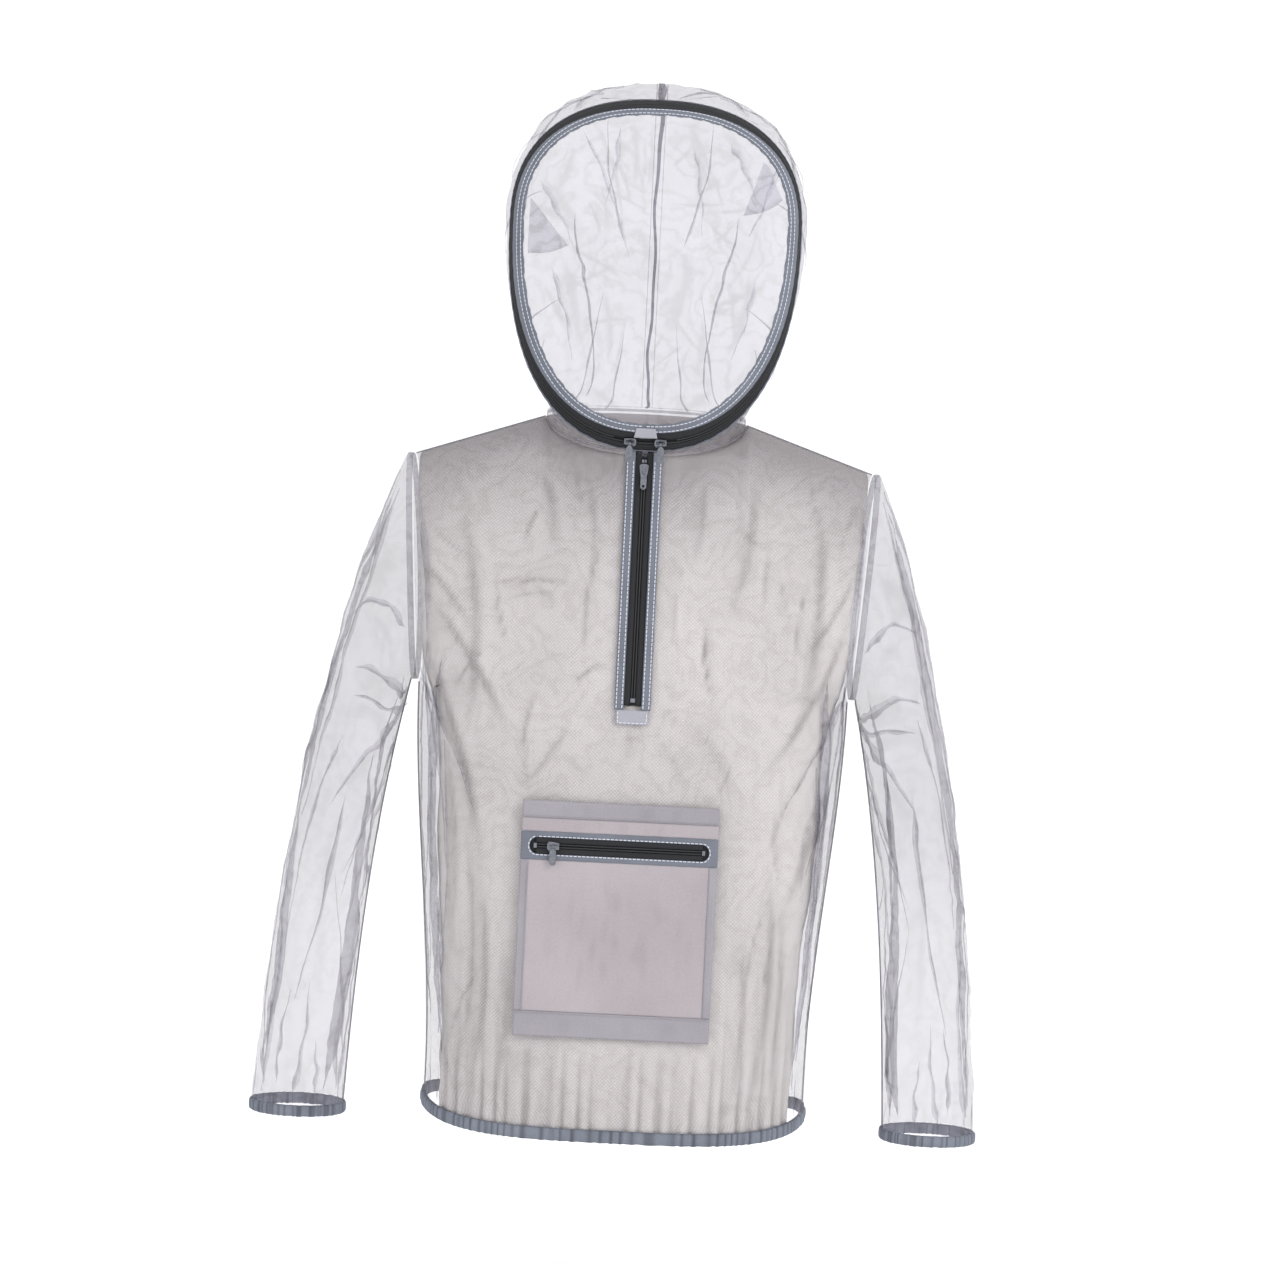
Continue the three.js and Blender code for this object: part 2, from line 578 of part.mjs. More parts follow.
// A flat tag hung from an eye that goes round the slider's bridge.
function eyePullGeometry() {
  const round = new THREE.Shape();
  round.absarc(0, 0, eye.outer, 0, 2 * Math.PI);
  const bore = new THREE.Path();
  bore.absarc(0, 0, eye.inner, 0, 2 * Math.PI);
  round.holes.push(bore);
  const loop = extruded(round, eye.width, 8).translate(0, 0, -eye.width / 2).rotateY(Math.PI / 2);
  const tag = new THREE.Shape();
  const top = -eye.outer + 0.5;
  tag.moveTo(-eye.width / 2, top);
  tag.lineTo(-eye.tag / 2, top - 3);
  tag.lineTo(-eye.tag / 2, -eye.length + 1.5);
  tag.lineTo(-eye.tag / 2 + 1.5, -eye.length);
  tag.lineTo(eye.tag / 2 - 1.5, -eye.length);
  tag.lineTo(eye.tag / 2, -eye.length + 1.5);
  tag.lineTo(eye.tag / 2, top - 3);
  tag.lineTo(eye.width / 2, top);
  const hole = new THREE.Path();
  hole.absarc(0, -eye.length + 4, eye.hole, 0, 2 * Math.PI);
  tag.holes.push(hole);
  return joined(loop, extruded(tag, eye.thick, 4).translate(0, 0, -eye.thick / 2));
}

function addTurned(name, geometry, material, origin, across, along, out) {
  const mesh = add(name, geometry, material);
  mesh.position.copy(origin);
  mesh.quaternion.setFromRotationMatrix(new THREE.Matrix4().makeBasis(across, along, out));
  return mesh;
}

const axisX = new THREE.Vector3(1, 0, 0);
const axisZ = new THREE.Vector3(0, 0, 1);

function addFaceSliders() {
  for (const [name, hand] of [['left', 1], ['right', -1]]) {
    const middle = inset.innerCoil - gap / 2;
    const angle = -90 + hand * faceSliderTurn;
    const surface = domeInset(angle, middle);
    const along = domeInset(angle - hand, middle).sub(domeInset(angle + hand, middle)).normalize();
    const inward = domeInset(angle, middle + 2).sub(domeInset(angle, middle - 2));
    const out = along.clone().cross(inward).normalize();
    if (out.y > 0) out.negate();
    const across = along.clone().cross(out);
    const seat = surface.clone().addScaledVector(out, sliderLift);
    addTurned(`face_slider_${name}`, sliderGeometry(eyeBar), look.metal, seat, across, along, out);
    const pin = along.clone().multiplyScalar(-hand);
    const up = axisZ.clone().addScaledVector(pin, -axisZ.dot(pin)).normalize();
    const hang = seat.clone().addScaledVector(out, eyePivot);
    addTurned(`face_pull_${name}`, eyePullGeometry(), look.metal, hang, pin, up, pin.clone().cross(up));
  }
}

// ---- Front zip ----

function addFrontZip() {
  const strip = (x0, x1, z0, z1, lift, count) => {
    const place = (x, z) => onFront(x, z, lift);
    return (thick) => sheetSolid(place, [x0, x1], steps(z0, z1, count), thick);
  };
  const tapeFrom = gap / 2 + coil.width + gap;
  const coilFoot = zipEndZ + 8;
  const bindingLift = netting / 2 + gap + ribbon / 2;
  for (const [name, hand] of [['left', 1], ['right', -1]]) {
    const tapeTo = frontZip.width / 2;
    add(`front_zip_tape_${name}`, strip(hand * tapeFrom, hand * tapeTo, zipEndZ, zipTopZ, 0, 10)(tape.thick), look.tape);
    const coilTo = gap / 2 + coil.width;
    add(`front_zip_coil_${name}`, strip(hand * gap / 2, hand * coilTo, coilFoot, zipTopZ - 4, 0, 10)(coil.thick), look.coil);
    const stop = strip(hand * gap / 2, hand * coilTo, zipTopZ - 4 + gap, zipTopZ - 0.6, 0, 1)(coil.thick + 0.6);
    add(`front_zip_top_stop_${name}`, stop, look.metal);
    const edge = slotHalf - 1.5;
    const binding = strip(hand * edge, hand * (edge + bindingWidth), zipEndZ - 4, zipTopZ, bindingLift, 10)(ribbon);
    add(`front_zip_binding_${name}`, binding, look.binding);
  }
  const stopReach = coil.width + gap / 2;
  const bottomStop = strip(-stopReach, stopReach, zipEndZ + 3.6, coilFoot - gap, 0, 1)(coil.thick + 0.6);
  add('front_zip_bottom_stop', bottomStop, look.metal);
  const tabTop = zipEndZ - 4 - gap;
  add('front_zip_tab', strip(-16, 16, tabTop - 14, tabTop, bindingLift, 2)(ribbon), look.tab);

  const low = onFront(0, zipEndZ + 14);
  const high = onFront(0, zipTopZ - frontZip.sliderDrop);
  const along = high.clone().sub(low).normalize();
  const out = axisX.clone().cross(along);
  const seat = high.clone().addScaledVector(out, sliderLift + 0.3);
  addTurned('front_slider', sliderGeometry(slider.bridge), look.metal, seat, axisX, along, out);
  const pivot = seat.clone().addScaledVector(out, forkPivot);
  addTurned('front_pull', forkPullGeometry(), look.metal, pivot, axisX, along, out);
}

// ---- Pocket: flat pieces in one plane on the chest's flat front ----

function addPocket() {
  const plane = -(bodyDepthFront + netting / 2 + gap + coil.thick / 2);
  const left = pocket.centreX - pocket.width / 2;
  const right = pocket.centreX + pocket.width / 2;
  const flat = (x0, x1, z0, z1, thick) => box(x1 - x0, thick, z1 - z0, (x0 + x1) / 2, plane, (z0 + z1) / 2);
  const frameHalf = pocketZip.frameHeight / 2;
  const frameTop = pocketZip.z + frameHalf;
  const frameFoot = pocketZip.z - frameHalf;
  const bandFoot = pocket.topZ - pocket.topBand;
  const lowBandTop = pocket.bottomZ + pocket.bottomBand;
  add('pocket_top_band', flat(left, right, bandFoot, pocket.topZ, netting), look.pocket);
  add('pocket_upper_panel', flat(left, right, frameTop + gap, bandFoot - gap, ribbon), look.pocket);
  add('pocket_lower_panel', flat(left, right, lowBandTop + gap, frameFoot - gap, ribbon), look.pocket);
  add('pocket_bottom_band', flat(left, right, pocket.bottomZ, lowBandTop, netting), look.pocket);

  const windowHalf = frameHalf - pocketZip.frameBorder;
  const windowInset = pocketZip.frameBorder + 3;
  const frame = new THREE.Shape();
  frame.moveTo(left, frameFoot);
  frame.lineTo(right, frameFoot);
  frame.lineTo(right, frameTop);
  frame.lineTo(left, frameTop);
  const window = new THREE.Path();
  window.absarc(right - windowInset - windowHalf, pocketZip.z, windowHalf, -Math.PI / 2, Math.PI / 2);
  window.absarc(left + windowInset + windowHalf, pocketZip.z, windowHalf, Math.PI / 2, 1.5 * Math.PI);
  frame.holes.push(window);
  const framed = extruded(frame, ribbon, 6).rotateX(Math.PI / 2).translate(0, plane + ribbon / 2, 0);
  add('pocket_zip_frame', framed, look.binding);

  const coilLeft = pocket.centreX - pocketZip.length / 2;
  const coilRight = pocket.centreX + pocketZip.length / 2;
  const coilTo = gap / 2 + coil.width;
  const tapeFrom = coilTo + gap;
  const tapeTo = windowHalf - gap;
  for (const [name, hand] of [['upper', 1], ['lower', -1]]) {
    const band = (from, to, thick, x0, x1) => {
      const zs = [pocketZip.z + hand * from, pocketZip.z + hand * to].sort((a, b) => a - b);
      return flat(x0, x1, zs[0], zs[1], thick);
    };
    const tapeInset = windowInset + windowHalf * 0.75;
    add(`pocket_zip_tape_${name}`, band(tapeFrom, tapeTo, tape.thick, left + tapeInset, right - tapeInset), look.tape);
    add(`pocket_zip_coil_${name}`, band(gap / 2, coilTo, coil.thick, coilLeft + 4, coilRight - 4), look.coil);
  }
  const stop = (x0, x1) => flat(x0, x1, pocketZip.z - coilTo, pocketZip.z + coilTo, coil.thick);
  add('pocket_zip_stop_left', stop(coilLeft + 0.6, coilLeft + 4 - gap), look.metal);
  add('pocket_zip_stop_right', stop(coilRight - 4 + gap, coilRight - 0.6), look.metal);

  const out = new THREE.Vector3(0, -1, 0);
  const seat = new THREE.Vector3(coilLeft + pocketZip.sliderInset, plane - sliderLift, pocketZip.z);
  const towardsLeft = axisX.clone().negate();
  addTurned('pocket_slider', sliderGeometry(eyeBar), look.metal, seat, axisZ, towardsLeft, out);
  const pivot = seat.clone().addScaledVector(out, eyePivot);
  addTurned('pocket_pull', eyePullGeometry(), look.metal, pivot, axisX, axisZ, out);
}

addBody();
addHem();
addSleeve('left', 1);
addSleeve('right', -1);
addHood();
addFaceZip();
addFaceSliders();
addFrontZip();
addPocket();

export default jacket;
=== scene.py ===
import math

import bmesh
import bpy
import numpy as np
from mathutils import Matrix, Vector


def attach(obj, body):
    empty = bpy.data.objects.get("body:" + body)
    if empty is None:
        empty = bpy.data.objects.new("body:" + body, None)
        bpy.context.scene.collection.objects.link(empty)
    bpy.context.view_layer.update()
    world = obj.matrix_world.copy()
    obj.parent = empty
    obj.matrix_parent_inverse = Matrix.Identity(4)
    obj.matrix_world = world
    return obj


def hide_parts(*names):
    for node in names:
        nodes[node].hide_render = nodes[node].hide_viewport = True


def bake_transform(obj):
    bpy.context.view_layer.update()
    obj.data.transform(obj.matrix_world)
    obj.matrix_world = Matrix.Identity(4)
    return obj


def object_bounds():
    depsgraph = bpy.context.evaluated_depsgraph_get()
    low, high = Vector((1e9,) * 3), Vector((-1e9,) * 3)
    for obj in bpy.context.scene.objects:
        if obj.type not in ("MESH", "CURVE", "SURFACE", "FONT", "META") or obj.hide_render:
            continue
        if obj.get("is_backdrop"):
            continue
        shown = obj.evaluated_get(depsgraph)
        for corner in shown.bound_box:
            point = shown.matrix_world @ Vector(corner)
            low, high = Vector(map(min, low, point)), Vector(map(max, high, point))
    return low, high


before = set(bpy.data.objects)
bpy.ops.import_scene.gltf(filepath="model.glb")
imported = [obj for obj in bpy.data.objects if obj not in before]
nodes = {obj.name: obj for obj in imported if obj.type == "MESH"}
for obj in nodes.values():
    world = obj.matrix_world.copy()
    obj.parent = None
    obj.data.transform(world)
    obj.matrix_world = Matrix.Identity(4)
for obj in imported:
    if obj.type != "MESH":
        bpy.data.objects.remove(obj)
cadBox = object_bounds()
scene = bpy.context.scene
scene.view_settings.view_transform = "Standard"  # dyed cloth keeps its plain colours
print("jacket frame loaded")

# Lengths are millimetres until a mesh is made. +Z up, front towards -Y, the wearer's left at +X.
jacket = {
    "neckHalf": 102, "neckFront": 95, "neckBack": 75, "neckFrontZ": -6, "neckSideZ": 32, "neckBackZ": 40,
    "shoulderHalf": 235, "shoulderZ": -13, "armpitZ": -245, "armholeDepth": 78, "chestHalf": 221,
    "depthFront": 120, "depthBack": 110, "slopeEnd": -262, "hemHalf": 196, "hemZ": -681, "hemRise": 14,
    "cuffX": 327, "cuffHalf": 47, "cuffDepth": 36, "cuffZ": -687, "seamEdge": 4.9, "seamHalf": 4.5,
    "zipTop": -9, "zipEnd": -255, "slotHalf": 10.4, "slotGap": 0.4, "liningEdge": 0.88, "liningShoulder": 0.975, "liningTop": 1.0,
}
armMid = (jacket["shoulderZ"] + jacket["armpitZ"]) / 2
armTall = (jacket["shoulderZ"] - jacket["armpitZ"]) / 2
deg = math.pi / 180
# The zip slot: half its width as a share across, and its foot as a share up the front.
slotU = jacket["slotHalf"] / jacket["shoulderHalf"]
slotT = (jacket["zipEnd"] - jacket["slotGap"] - jacket["hemZ"]) / (jacket["neckFrontZ"] - jacket["hemZ"])
thickness = {"seam": 0.9, "tape": 0.9, "binding": 0.9, "tab": 0.9, "lining": 0.7, "backing": 0.4, "frame": 1.0}


# Small shared tools.

def lerp(a, b, t):
    return a + (b - a) * t


def smooth(x, low, high):  # 0 below low, 1 above high, an even s-curve between
    t = np.clip((x - low) / (high - low), 0, 1)
    return t * t * (3 - 2 * t)


def vec(x, y, z):
    return np.stack(np.broadcast_arrays(x, y, z), -1).astype(float)


def unit(v):
    return v / np.maximum(np.linalg.norm(v, axis=-1, keepdims=True), 1e-12)


def normalOf(place, a, b, ea=1e-3, eb=1e-3):  # cross product of the two central differences of the surface
    return unit(np.cross(place(a + ea, b) - place(a - ea, b), place(a, b + eb) - place(a, b - eb)))


def ripple(x, y, seed, low, high, count=14):  # a sum of sine waves with seeded directions, wavelengths low to high, about -1 to 1
    rng = np.random.default_rng(seed)
    total = np.zeros(np.broadcast(x, y).shape)
    for _ in range(count):
        turn, phase = rng.uniform(0, math.pi), rng.uniform(0, 2 * math.pi)
        wave = 2 * math.pi / rng.uniform(low, high)
        total += np.sin((x * math.cos(turn) + y * math.sin(turn)) * wave + phase)
    return total / math.sqrt(count * 1.6)


def creaseLines(x, y, lines):  # each line is a soft ridge: height times a bell across it, fading to nothing at both ends
    lift = np.zeros(np.broadcast(x, y).shape)
    mark = np.zeros_like(lift)
    for x0, y0, x1, y1, width, height in lines:
        dx, dy = x1 - x0, y1 - y0
        long = math.hypot(dx, dy)
        along = ((x - x0) * dx + (y - y0) * dy) / long
        bow = 0.05 * long * np.sin(np.clip(along / long, 0, 1) * math.pi)
        off = ((x - x0) * dy - (y - y0) * dx) / long + bow
        ends = smooth(along, -0.05 * long, 0.3 * long) * (1 - smooth(along, 0.6 * long, 1.05 * long))
        lift += height * np.exp(-((off / width) ** 2)) * ends
        # the mark, a narrower bell along each crease, is painted shade in the fold
        mark += np.exp(-((off / (0.42 * width)) ** 2)) * ends * min(1.0, abs(height) / 3)
    return lift, np.clip(mark, 0, 1)


def fineCreases(seed, count, a, b, lean, long, width=3.4, height=1.5):
    # Short creases scattered evenly over a to b, each leaning off the second direction by up to lean radians.
    rng = np.random.default_rng(seed)
    lines = []
    for _ in range(count):
        x, y = rng.uniform(*a), rng.uniform(*b)
        turn, far = rng.uniform(-lean, lean), rng.uniform(*long)
        wide, high = width * rng.uniform(0.7, 1.5), height * rng.choice([-1, 1]) * rng.uniform(0.6, 1.6)
        lines.append((x, y, x + far * math.sin(turn), y + far * math.cos(turn), wide, high))
    return lines


def pleated(start, end, steps, pleats):
    # Cloth laid in flat folds: each pleat (centre, width, lift) runs on to centre + width, turns back by width and goes on,
    # so the cloth is three layers deep there. Widths may change along the rows. Gives places and lifts off the surface.
    extra = sum(2 * np.asarray(w, float) for _, w, _ in pleats) if pleats else 0.0
    q = np.linspace(0, 1, steps)
    s = start + q[None, :] * (np.reshape(end - start + extra, (-1, 1)))
    lift = np.zeros_like(s)
    for centre, width, high in sorted(pleats, key=lambda p: float(np.mean(p[0]))):
        c, w = np.reshape(centre, (-1, 1)), np.reshape(width, (-1, 1))
        turn, back = c + w, c + 2 * w
        some = np.clip(w / np.maximum(np.max(w), 1e-9) * 3, 0, 1)
        rise = smooth(s, c - 1.2 * w - 1e-6, c)
        top = high * some * np.where(s <= turn, rise, np.clip(1 - (s - turn) / np.maximum(w, 1e-6) * 0.5, 0.5, 1))
        low = high * some * 0.5 * (1 - smooth(s, back, back + 0.6 * w + 1e-6))
        lift = lift + np.where(s <= back, top, low)
        s = np.where(s <= turn, s, np.where(s <= back, 2 * turn - s, s - 2 * w))
    return s, lift


def sheetMesh(name, points, closed=False, keep=None, outFrom=None, marks=None, merge=False):
    # A mesh from a rows x columns x 3 grid in mm. The UV map is the cloth's own length across and up, in metres.
    rows, columns = points.shape[:2]
    index = np.arange(rows * columns).reshape(rows, columns)
    right = np.roll(index, -1, 1) if closed else index[:, 1:]
    left = index if closed else index[:, :-1]
    quads = np.stack([left[:-1], right[:-1], right[1:], left[1:]], -1)
    if keep is not None:
        quads = quads[keep[:, : quads.shape[1]]]
    quads = quads.reshape(-1, 4)
    p = points.reshape(-1, 3)
    if outFrom is not None:
        n = np.cross(p[quads[:, 1]] - p[quads[:, 0]], p[quads[:, 3]] - p[quads[:, 0]])
        c = p[quads].mean(1)
        away = c - outFrom(c) if callable(outFrom) else np.broadcast_to(np.array(outFrom, float), c.shape)
        if (n * away).sum() < 0:
            quads = quads[:, ::-1]
    across = np.zeros((rows, columns + (1 if closed else 0)))
    ring = np.concatenate([points, points[:, :1]], 1) if closed else points
    across[:, 1:] = np.cumsum(np.linalg.norm(np.diff(ring, axis=1), axis=-1), 1)
    up = np.zeros((rows, columns))
    up[1:] = np.cumsum(np.linalg.norm(np.diff(points, axis=0), axis=-1), 0)
    middle = across[:, across.shape[1] // 2][:, None]
    upWide = np.concatenate([up, up[:, :1]], 1) if closed else up
    uvGrid = np.stack([across - middle, upWide], -1) / 1000
    mesh = bpy.data.meshes.new(name)
    mesh.from_pydata((p / 1000).tolist(), [], quads.tolist())
    uv = mesh.uv_layers.new(name="cloth")
    loops = np.zeros(len(mesh.loops), np.int32)
    mesh.loops.foreach_get("vertex_index", loops)
    r, c = loops // columns, loops % columns
    if closed:  # the last column of faces reads the seam's far side
        face = np.repeat(np.arange(len(quads)), 4)
        hasLast = (quads % columns == columns - 1).any(1)
        hasFirst = (quads % columns == 0).any(1)
        wrap = (hasLast & hasFirst)[face] & (c == 0)
        c = np.where(wrap, columns, c)
    uv.data.foreach_set("uv", uvGrid[r, c].astype(np.float32).ravel())
    if marks is not None:
        mesh.attributes.new("crease", "FLOAT", "POINT").data.foreach_set("value", np.clip(marks, 0, 1).astype(np.float32).ravel())
    mesh.polygons.foreach_set("use_smooth", np.ones(len(mesh.polygons), bool))
    if merge:  # rows or a pole that meet become one
        work = bmesh.new()
        work.from_mesh(mesh)
        bmesh.ops.remove_doubles(work, verts=work.verts, dist=1e-6)
        work.to_mesh(mesh)
        work.free()
    mesh.update()
    piece = bpy.data.objects.new(name, mesh)
    scene.collection.objects.link(piece)
    return piece


def thicken(piece, thick, offset=0.0):
    wall = piece.modifiers.new("clothWall", "SOLIDIFY")
    wall.thickness = thick / 1000
    wall.offset = offset
    return piece


def stitchRun(name, path, normals, pitch=4.2, long=3.0, wide=0.95, high=0.35):
    # Machine stitches: short flat bars laid end to end along the path, each a little proud of the cloth.
    far = np.concatenate([[0], np.cumsum(np.linalg.norm(np.diff(path, axis=0), axis=1))])
    at = np.arange(pitch / 2, far[-1] - pitch / 2, pitch)
    pick = lambda field, s: np.stack([np.interp(s, far, field[:, k]) for k in range(3)], -1)
    a, b = pick(path, at - long / 2), pick(path, at + long / 2)
    n = unit(pick(normals, at))
    side = unit(np.cross(b - a, n)) * wide / 2
    up = n * high
    slim = side * 0.6
    foot = [a - side, b - side, b + side, a + side]
    top = [a - slim + up, b - slim + up, b + slim + up, a + slim + up]
    corners = np.stack(foot + top, 1)
    base = np.arange(len(at))[:, None, None] * 8
    one = np.array([[0, 1, 2, 3], [7, 6, 5, 4], [0, 4, 5, 1], [1, 5, 6, 2], [2, 6, 7, 3], [3, 7, 4, 0]])
    mesh = bpy.data.meshes.new(name)
    faces = (base + one[None]).reshape(-1, 4)
    p = corners.reshape(-1, 3)
    test = np.cross(p[faces[0][1]] - p[faces[0][0]], p[faces[0][2]] - p[faces[0][0]])
    if np.dot(test, n[0]) > 0:  # the first face is the underside
        faces = faces[:, ::-1]
    mesh.from_pydata((p / 1000).tolist(), [], faces.tolist())
    piece = bpy.data.objects.new(name, mesh)
    scene.collection.objects.link(piece)
    return piece


def straightOut(path):  # the normals of a run in a flat sheet that faces forwards
    return np.broadcast_to([0.0, -1.0, 0.0], path.shape)


def joinPieces(name, pieces):
    bpy.ops.object.select_all(action="DESELECT")
    for piece in pieces:
        piece.select_set(True)
    bpy.context.view_layer.objects.active = pieces[0]
    bpy.ops.object.join()
    pieces[0].name = name
    return pieces[0]


# Materials.

def hexColour(text):  # an sRGB hex value made linear
    parts = [int(text[i : i + 2], 16) / 255 for i in (1, 3, 5)]
    return tuple(c / 12.92 if c <= 0.04045 else ((c + 0.055) / 1.055) ** 2.4 for c in parts) + (1.0,)


def addNode(tree, kind, links=None, **settings):
    # One node. A setting named in0, in1 ... sets that input; links gives {input: output socket}.
    node = tree.nodes.new("ShaderNode" + kind)
    for key, value in settings.items():
        if key[:2] == "in" and key[2:].isdigit():
            node.inputs[int(key[2:])].default_value = value
        else:
            setattr(node, key, value)
    for key, socket in (links or {}).items():
        tree.links.new(socket, node.inputs[key])
    return node


def finish(name, colour, roughness, alpha=1.0, metallic=0.0, sheen=0.0, ior=None, specular=None):
    made = bpy.data.materials.new(name)
    made.use_nodes = True
    shader = made.node_tree.nodes["Principled BSDF"]
    shader.inputs["Base Color"].default_value = hexColour(colour)
    shader.inputs["Roughness"].default_value = roughness
    shader.inputs["Alpha"].default_value = alpha
    shader.inputs["Metallic"].default_value = metallic
    shader.inputs["Sheen Weight"].default_value = sheen
    if ior:
        shader.inputs["IOR"].default_value = ior
    if specular is not None:
        shader.inputs["Specular IOR Level"].default_value = specular
    return made, made.node_tree, shader


def cloth(
    name, pale, dark, threadAcross, threadUp, roughness=0.85, alpha=1.0, bump=0.25, cloud=22, sheen=0.0, slub=0.35, water=0
):
    # Woven or knitted cloth: two crossed sine waves at the thread spacing make the over-and-under, slow noise gives
    # uneven dye, and the crease attribute darkens the colour: painted shade in folds, tucks and under the shoulders,
    # uneven tone on the pocket. Water counts the wavy bands that crossed net layers show.
    made, tree, shader = finish(name, pale, roughness, alpha, sheen=sheen)
    place = addNode(tree, "UVMap", uv_map="cloth")
    split = addNode(tree, "SeparateXYZ", {0: place.outputs[0]})
    warp = addNode(tree, "Math", {0: split.outputs[0]}, operation="MULTIPLY", in1=2 * math.pi * 1000 / threadAcross)
    weft = addNode(tree, "Math", {0: split.outputs[1]}, operation="MULTIPLY", in1=2 * math.pi * 1000 / threadUp)
    warpWave = addNode(tree, "Math", {0: warp.outputs[0]}, operation="SINE")
    weftWave = addNode(tree, "Math", {0: weft.outputs[0]}, operation="SINE")
    over = addNode(tree, "Math", {0: warpWave.outputs[0], 1: weftWave.outputs[0]}, operation="MULTIPLY")
    height = addNode(tree, "MapRange", {0: over.outputs[0]}, in1=-1.0, in2=1.0, in3=0.0, in4=1.0)
    spots = addNode(tree, "TexCoord")
    uneven = addNode(tree, "TexNoise", {"Vector": spots.outputs["Object"]})
    uneven.inputs["Scale"].default_value = cloud
    uneven.inputs["Detail"].default_value = 5
    thick = addNode(tree, "TexNoise", {"Vector": place.outputs[0]})  # thicker and thinner yarns
    thick.inputs["Scale"].default_value = 420
    thick.inputs["Detail"].default_value = 2
    amount = addNode(tree, "Math", {0: height.outputs[0], 1: thick.outputs[0]}, operation="MULTIPLY_ADD", in2=0.0)
    shade = addNode(tree, "MapRange", {0: amount.outputs[0]}, in1=0.0, in2=0.7, in3=slub, in4=0.0)
    drift = addNode(tree, "MapRange", {0: uneven.outputs[0]}, in1=0.3, in2=0.7, in3=0.0, in4=0.3)
    both = addNode(tree, "Math", {0: shade.outputs[0], 1: drift.outputs[0]}, operation="ADD", use_clamp=True)
    if water:
        turns = addNode(tree, "Math", {0: uneven.outputs[0]}, operation="MULTIPLY", in1=2 * math.pi * water)
        bands = addNode(tree, "Math", {0: turns.outputs[0]}, operation="SINE")
        watered = addNode(tree, "MapRange", {0: bands.outputs[0]}, in1=0.1, in2=1.0, in3=0.0, in4=0.34)
        both = addNode(tree, "Math", {0: both.outputs[0], 1: watered.outputs[0]}, operation="ADD", use_clamp=True)
    # painted shade: the crease attribute darkens the colour in folds, tucks and under the shoulders (uneven tone on the
    # pocket)
    creaseShadeAndTone = addNode(tree, "Attribute", attribute_name="crease")
    weaveDyeAndShade = addNode(tree, "Math", {0: creaseShadeAndTone.outputs["Fac"], 1: both.outputs[0]}, operation="ADD", use_clamp=True)
    colour = addNode(tree, "MixRGB", {0: weaveDyeAndShade.outputs[0]}, in1=hexColour(pale), in2=hexColour(dark))
    rough = addNode(tree, "MapRange", {0: height.outputs[0]}, in3=min(1, roughness + 0.08), in4=roughness - 0.08)
    relief = addNode(tree, "Bump", {"Height": amount.outputs[0]})
    relief.inputs["Strength"].default_value = bump
    relief.inputs["Distance"].default_value = 0.0003
    tree.links.new(colour.outputs[0], shader.inputs["Base Color"])
    tree.links.new(rough.outputs[0], shader.inputs["Roughness"])
    tree.links.new(relief.outputs[0], shader.inputs["Normal"])
    return made


# Polyester mosquito net, warp knitted. A layer dims what is behind it and two or three laid together read as grey. The
# real holes are 0.5 mm, too fine to show, so the net is a see-through film with a 3 mm knit drawn on it.
netting = cloth("polyesterNet", "#a5a2ac", "#4f4b55", 3.0, 3.0, 0.8, alpha=0.30, bump=0.2, cloud=9, slub=0.42, water=17)
veilNet = cloth("polyesterVeilNet", "#bcb9c8", "#57535f", 3.0, 3.0, 0.8, alpha=0.26, bump=0.2, cloud=11, slub=0.4, water=13)
# Turned seam of several net layers, overlocked: nearly solid grey with fine ribs.
seamNet = cloth("overlockedNetSeam", "#8e8b95", "#5c5963", 2.4, 1.8, 0.85, alpha=0.64, bump=0.4, cloud=30)
# Undyed cotton plain weave: soft, matt, slightly uneven. The 0.5 mm threads are drawn at 3.6 mm so that they show.
lining = cloth("cottonPlainWeave", "#fbf6f0", "#aca7a5", 3.6, 3.6, 0.92, bump=0.5, cloud=5, slub=0.55)
# Thin dyed polyester taffeta: smooth with a slight sheen.
pocketCloth = cloth("polyesterTaffeta", "#b0a9ab", "#857d83", 2.6, 2.6, 0.7, alpha=0.93, bump=0.3, cloud=9, sheen=0.1, slub=0.45)
# The same taffeta turned over at the hems, so doubled and darker.
pocketHem = cloth("polyesterTaffetaDoubled", "#9a969c", "#747077", 2.6, 2.6, 0.72, bump=0.3, cloud=12, sheen=0.1, slub=0.45)
tabCloth = cloth("polyesterTabTaffeta", "#a3a3ab", "#77777f", 1.9, 1.9, 0.7, bump=0.25, cloud=14)
# Grosgrain binding: cross ribs every 1.6 mm on a slate dye.
binding = cloth("grosgrainBinding", "#70757f", "#484c56", 1.2, 1.6, 0.75, bump=0.5, cloud=26)
# Folded casing over elastic: dense gathered cloth, with painted shade darker in the tucks.
casing = cloth("elasticCasing", "#7d838e", "#474b55", 1.8, 1.8, 0.8, bump=0.4, cloud=30)
# Woven polyester zip tape: black with a fine rib.
zipTape = cloth("wovenZipTape", "#18191e", "#090a0c", 1.4, 1.4, 0.8, bump=0.45, cloud=40)
elastic = cloth("knittedElastic", "#e6e4e2", "#bcb9b6", 1.2, 1.6, 0.85, bump=0.4, cloud=30)


def polymer(name, pale, dark, roughness):  # coiled nylon monofilament: dyed plastic with soft highlights
    made, tree, shader = finish(name, pale, roughness, ior=1.53)
    spots = addNode(tree, "TexCoord")
    fine = addNode(tree, "TexNoise", {"Vector": spots.outputs["Object"]})
    fine.inputs["Scale"].default_value = 900
    colour = addNode(tree, "MixRGB", {0: fine.outputs[0]}, in1=hexColour(pale), in2=hexColour(dark))
    rough = addNode(tree, "MapRange", {0: fine.outputs[0]}, in3=roughness - 0.08, in4=roughness + 0.12)
    tree.links.new(colour.outputs[0], shader.inputs["Base Color"])
    tree.links.new(rough.outputs[0], shader.inputs["Roughness"])
    return made


coilNylon = polymer("nylonCoil", "#15161a", "#08090b", 0.5)
thread = polymer("polyesterThread", "#d6d9e2", "#b4b8c4", 0.7)


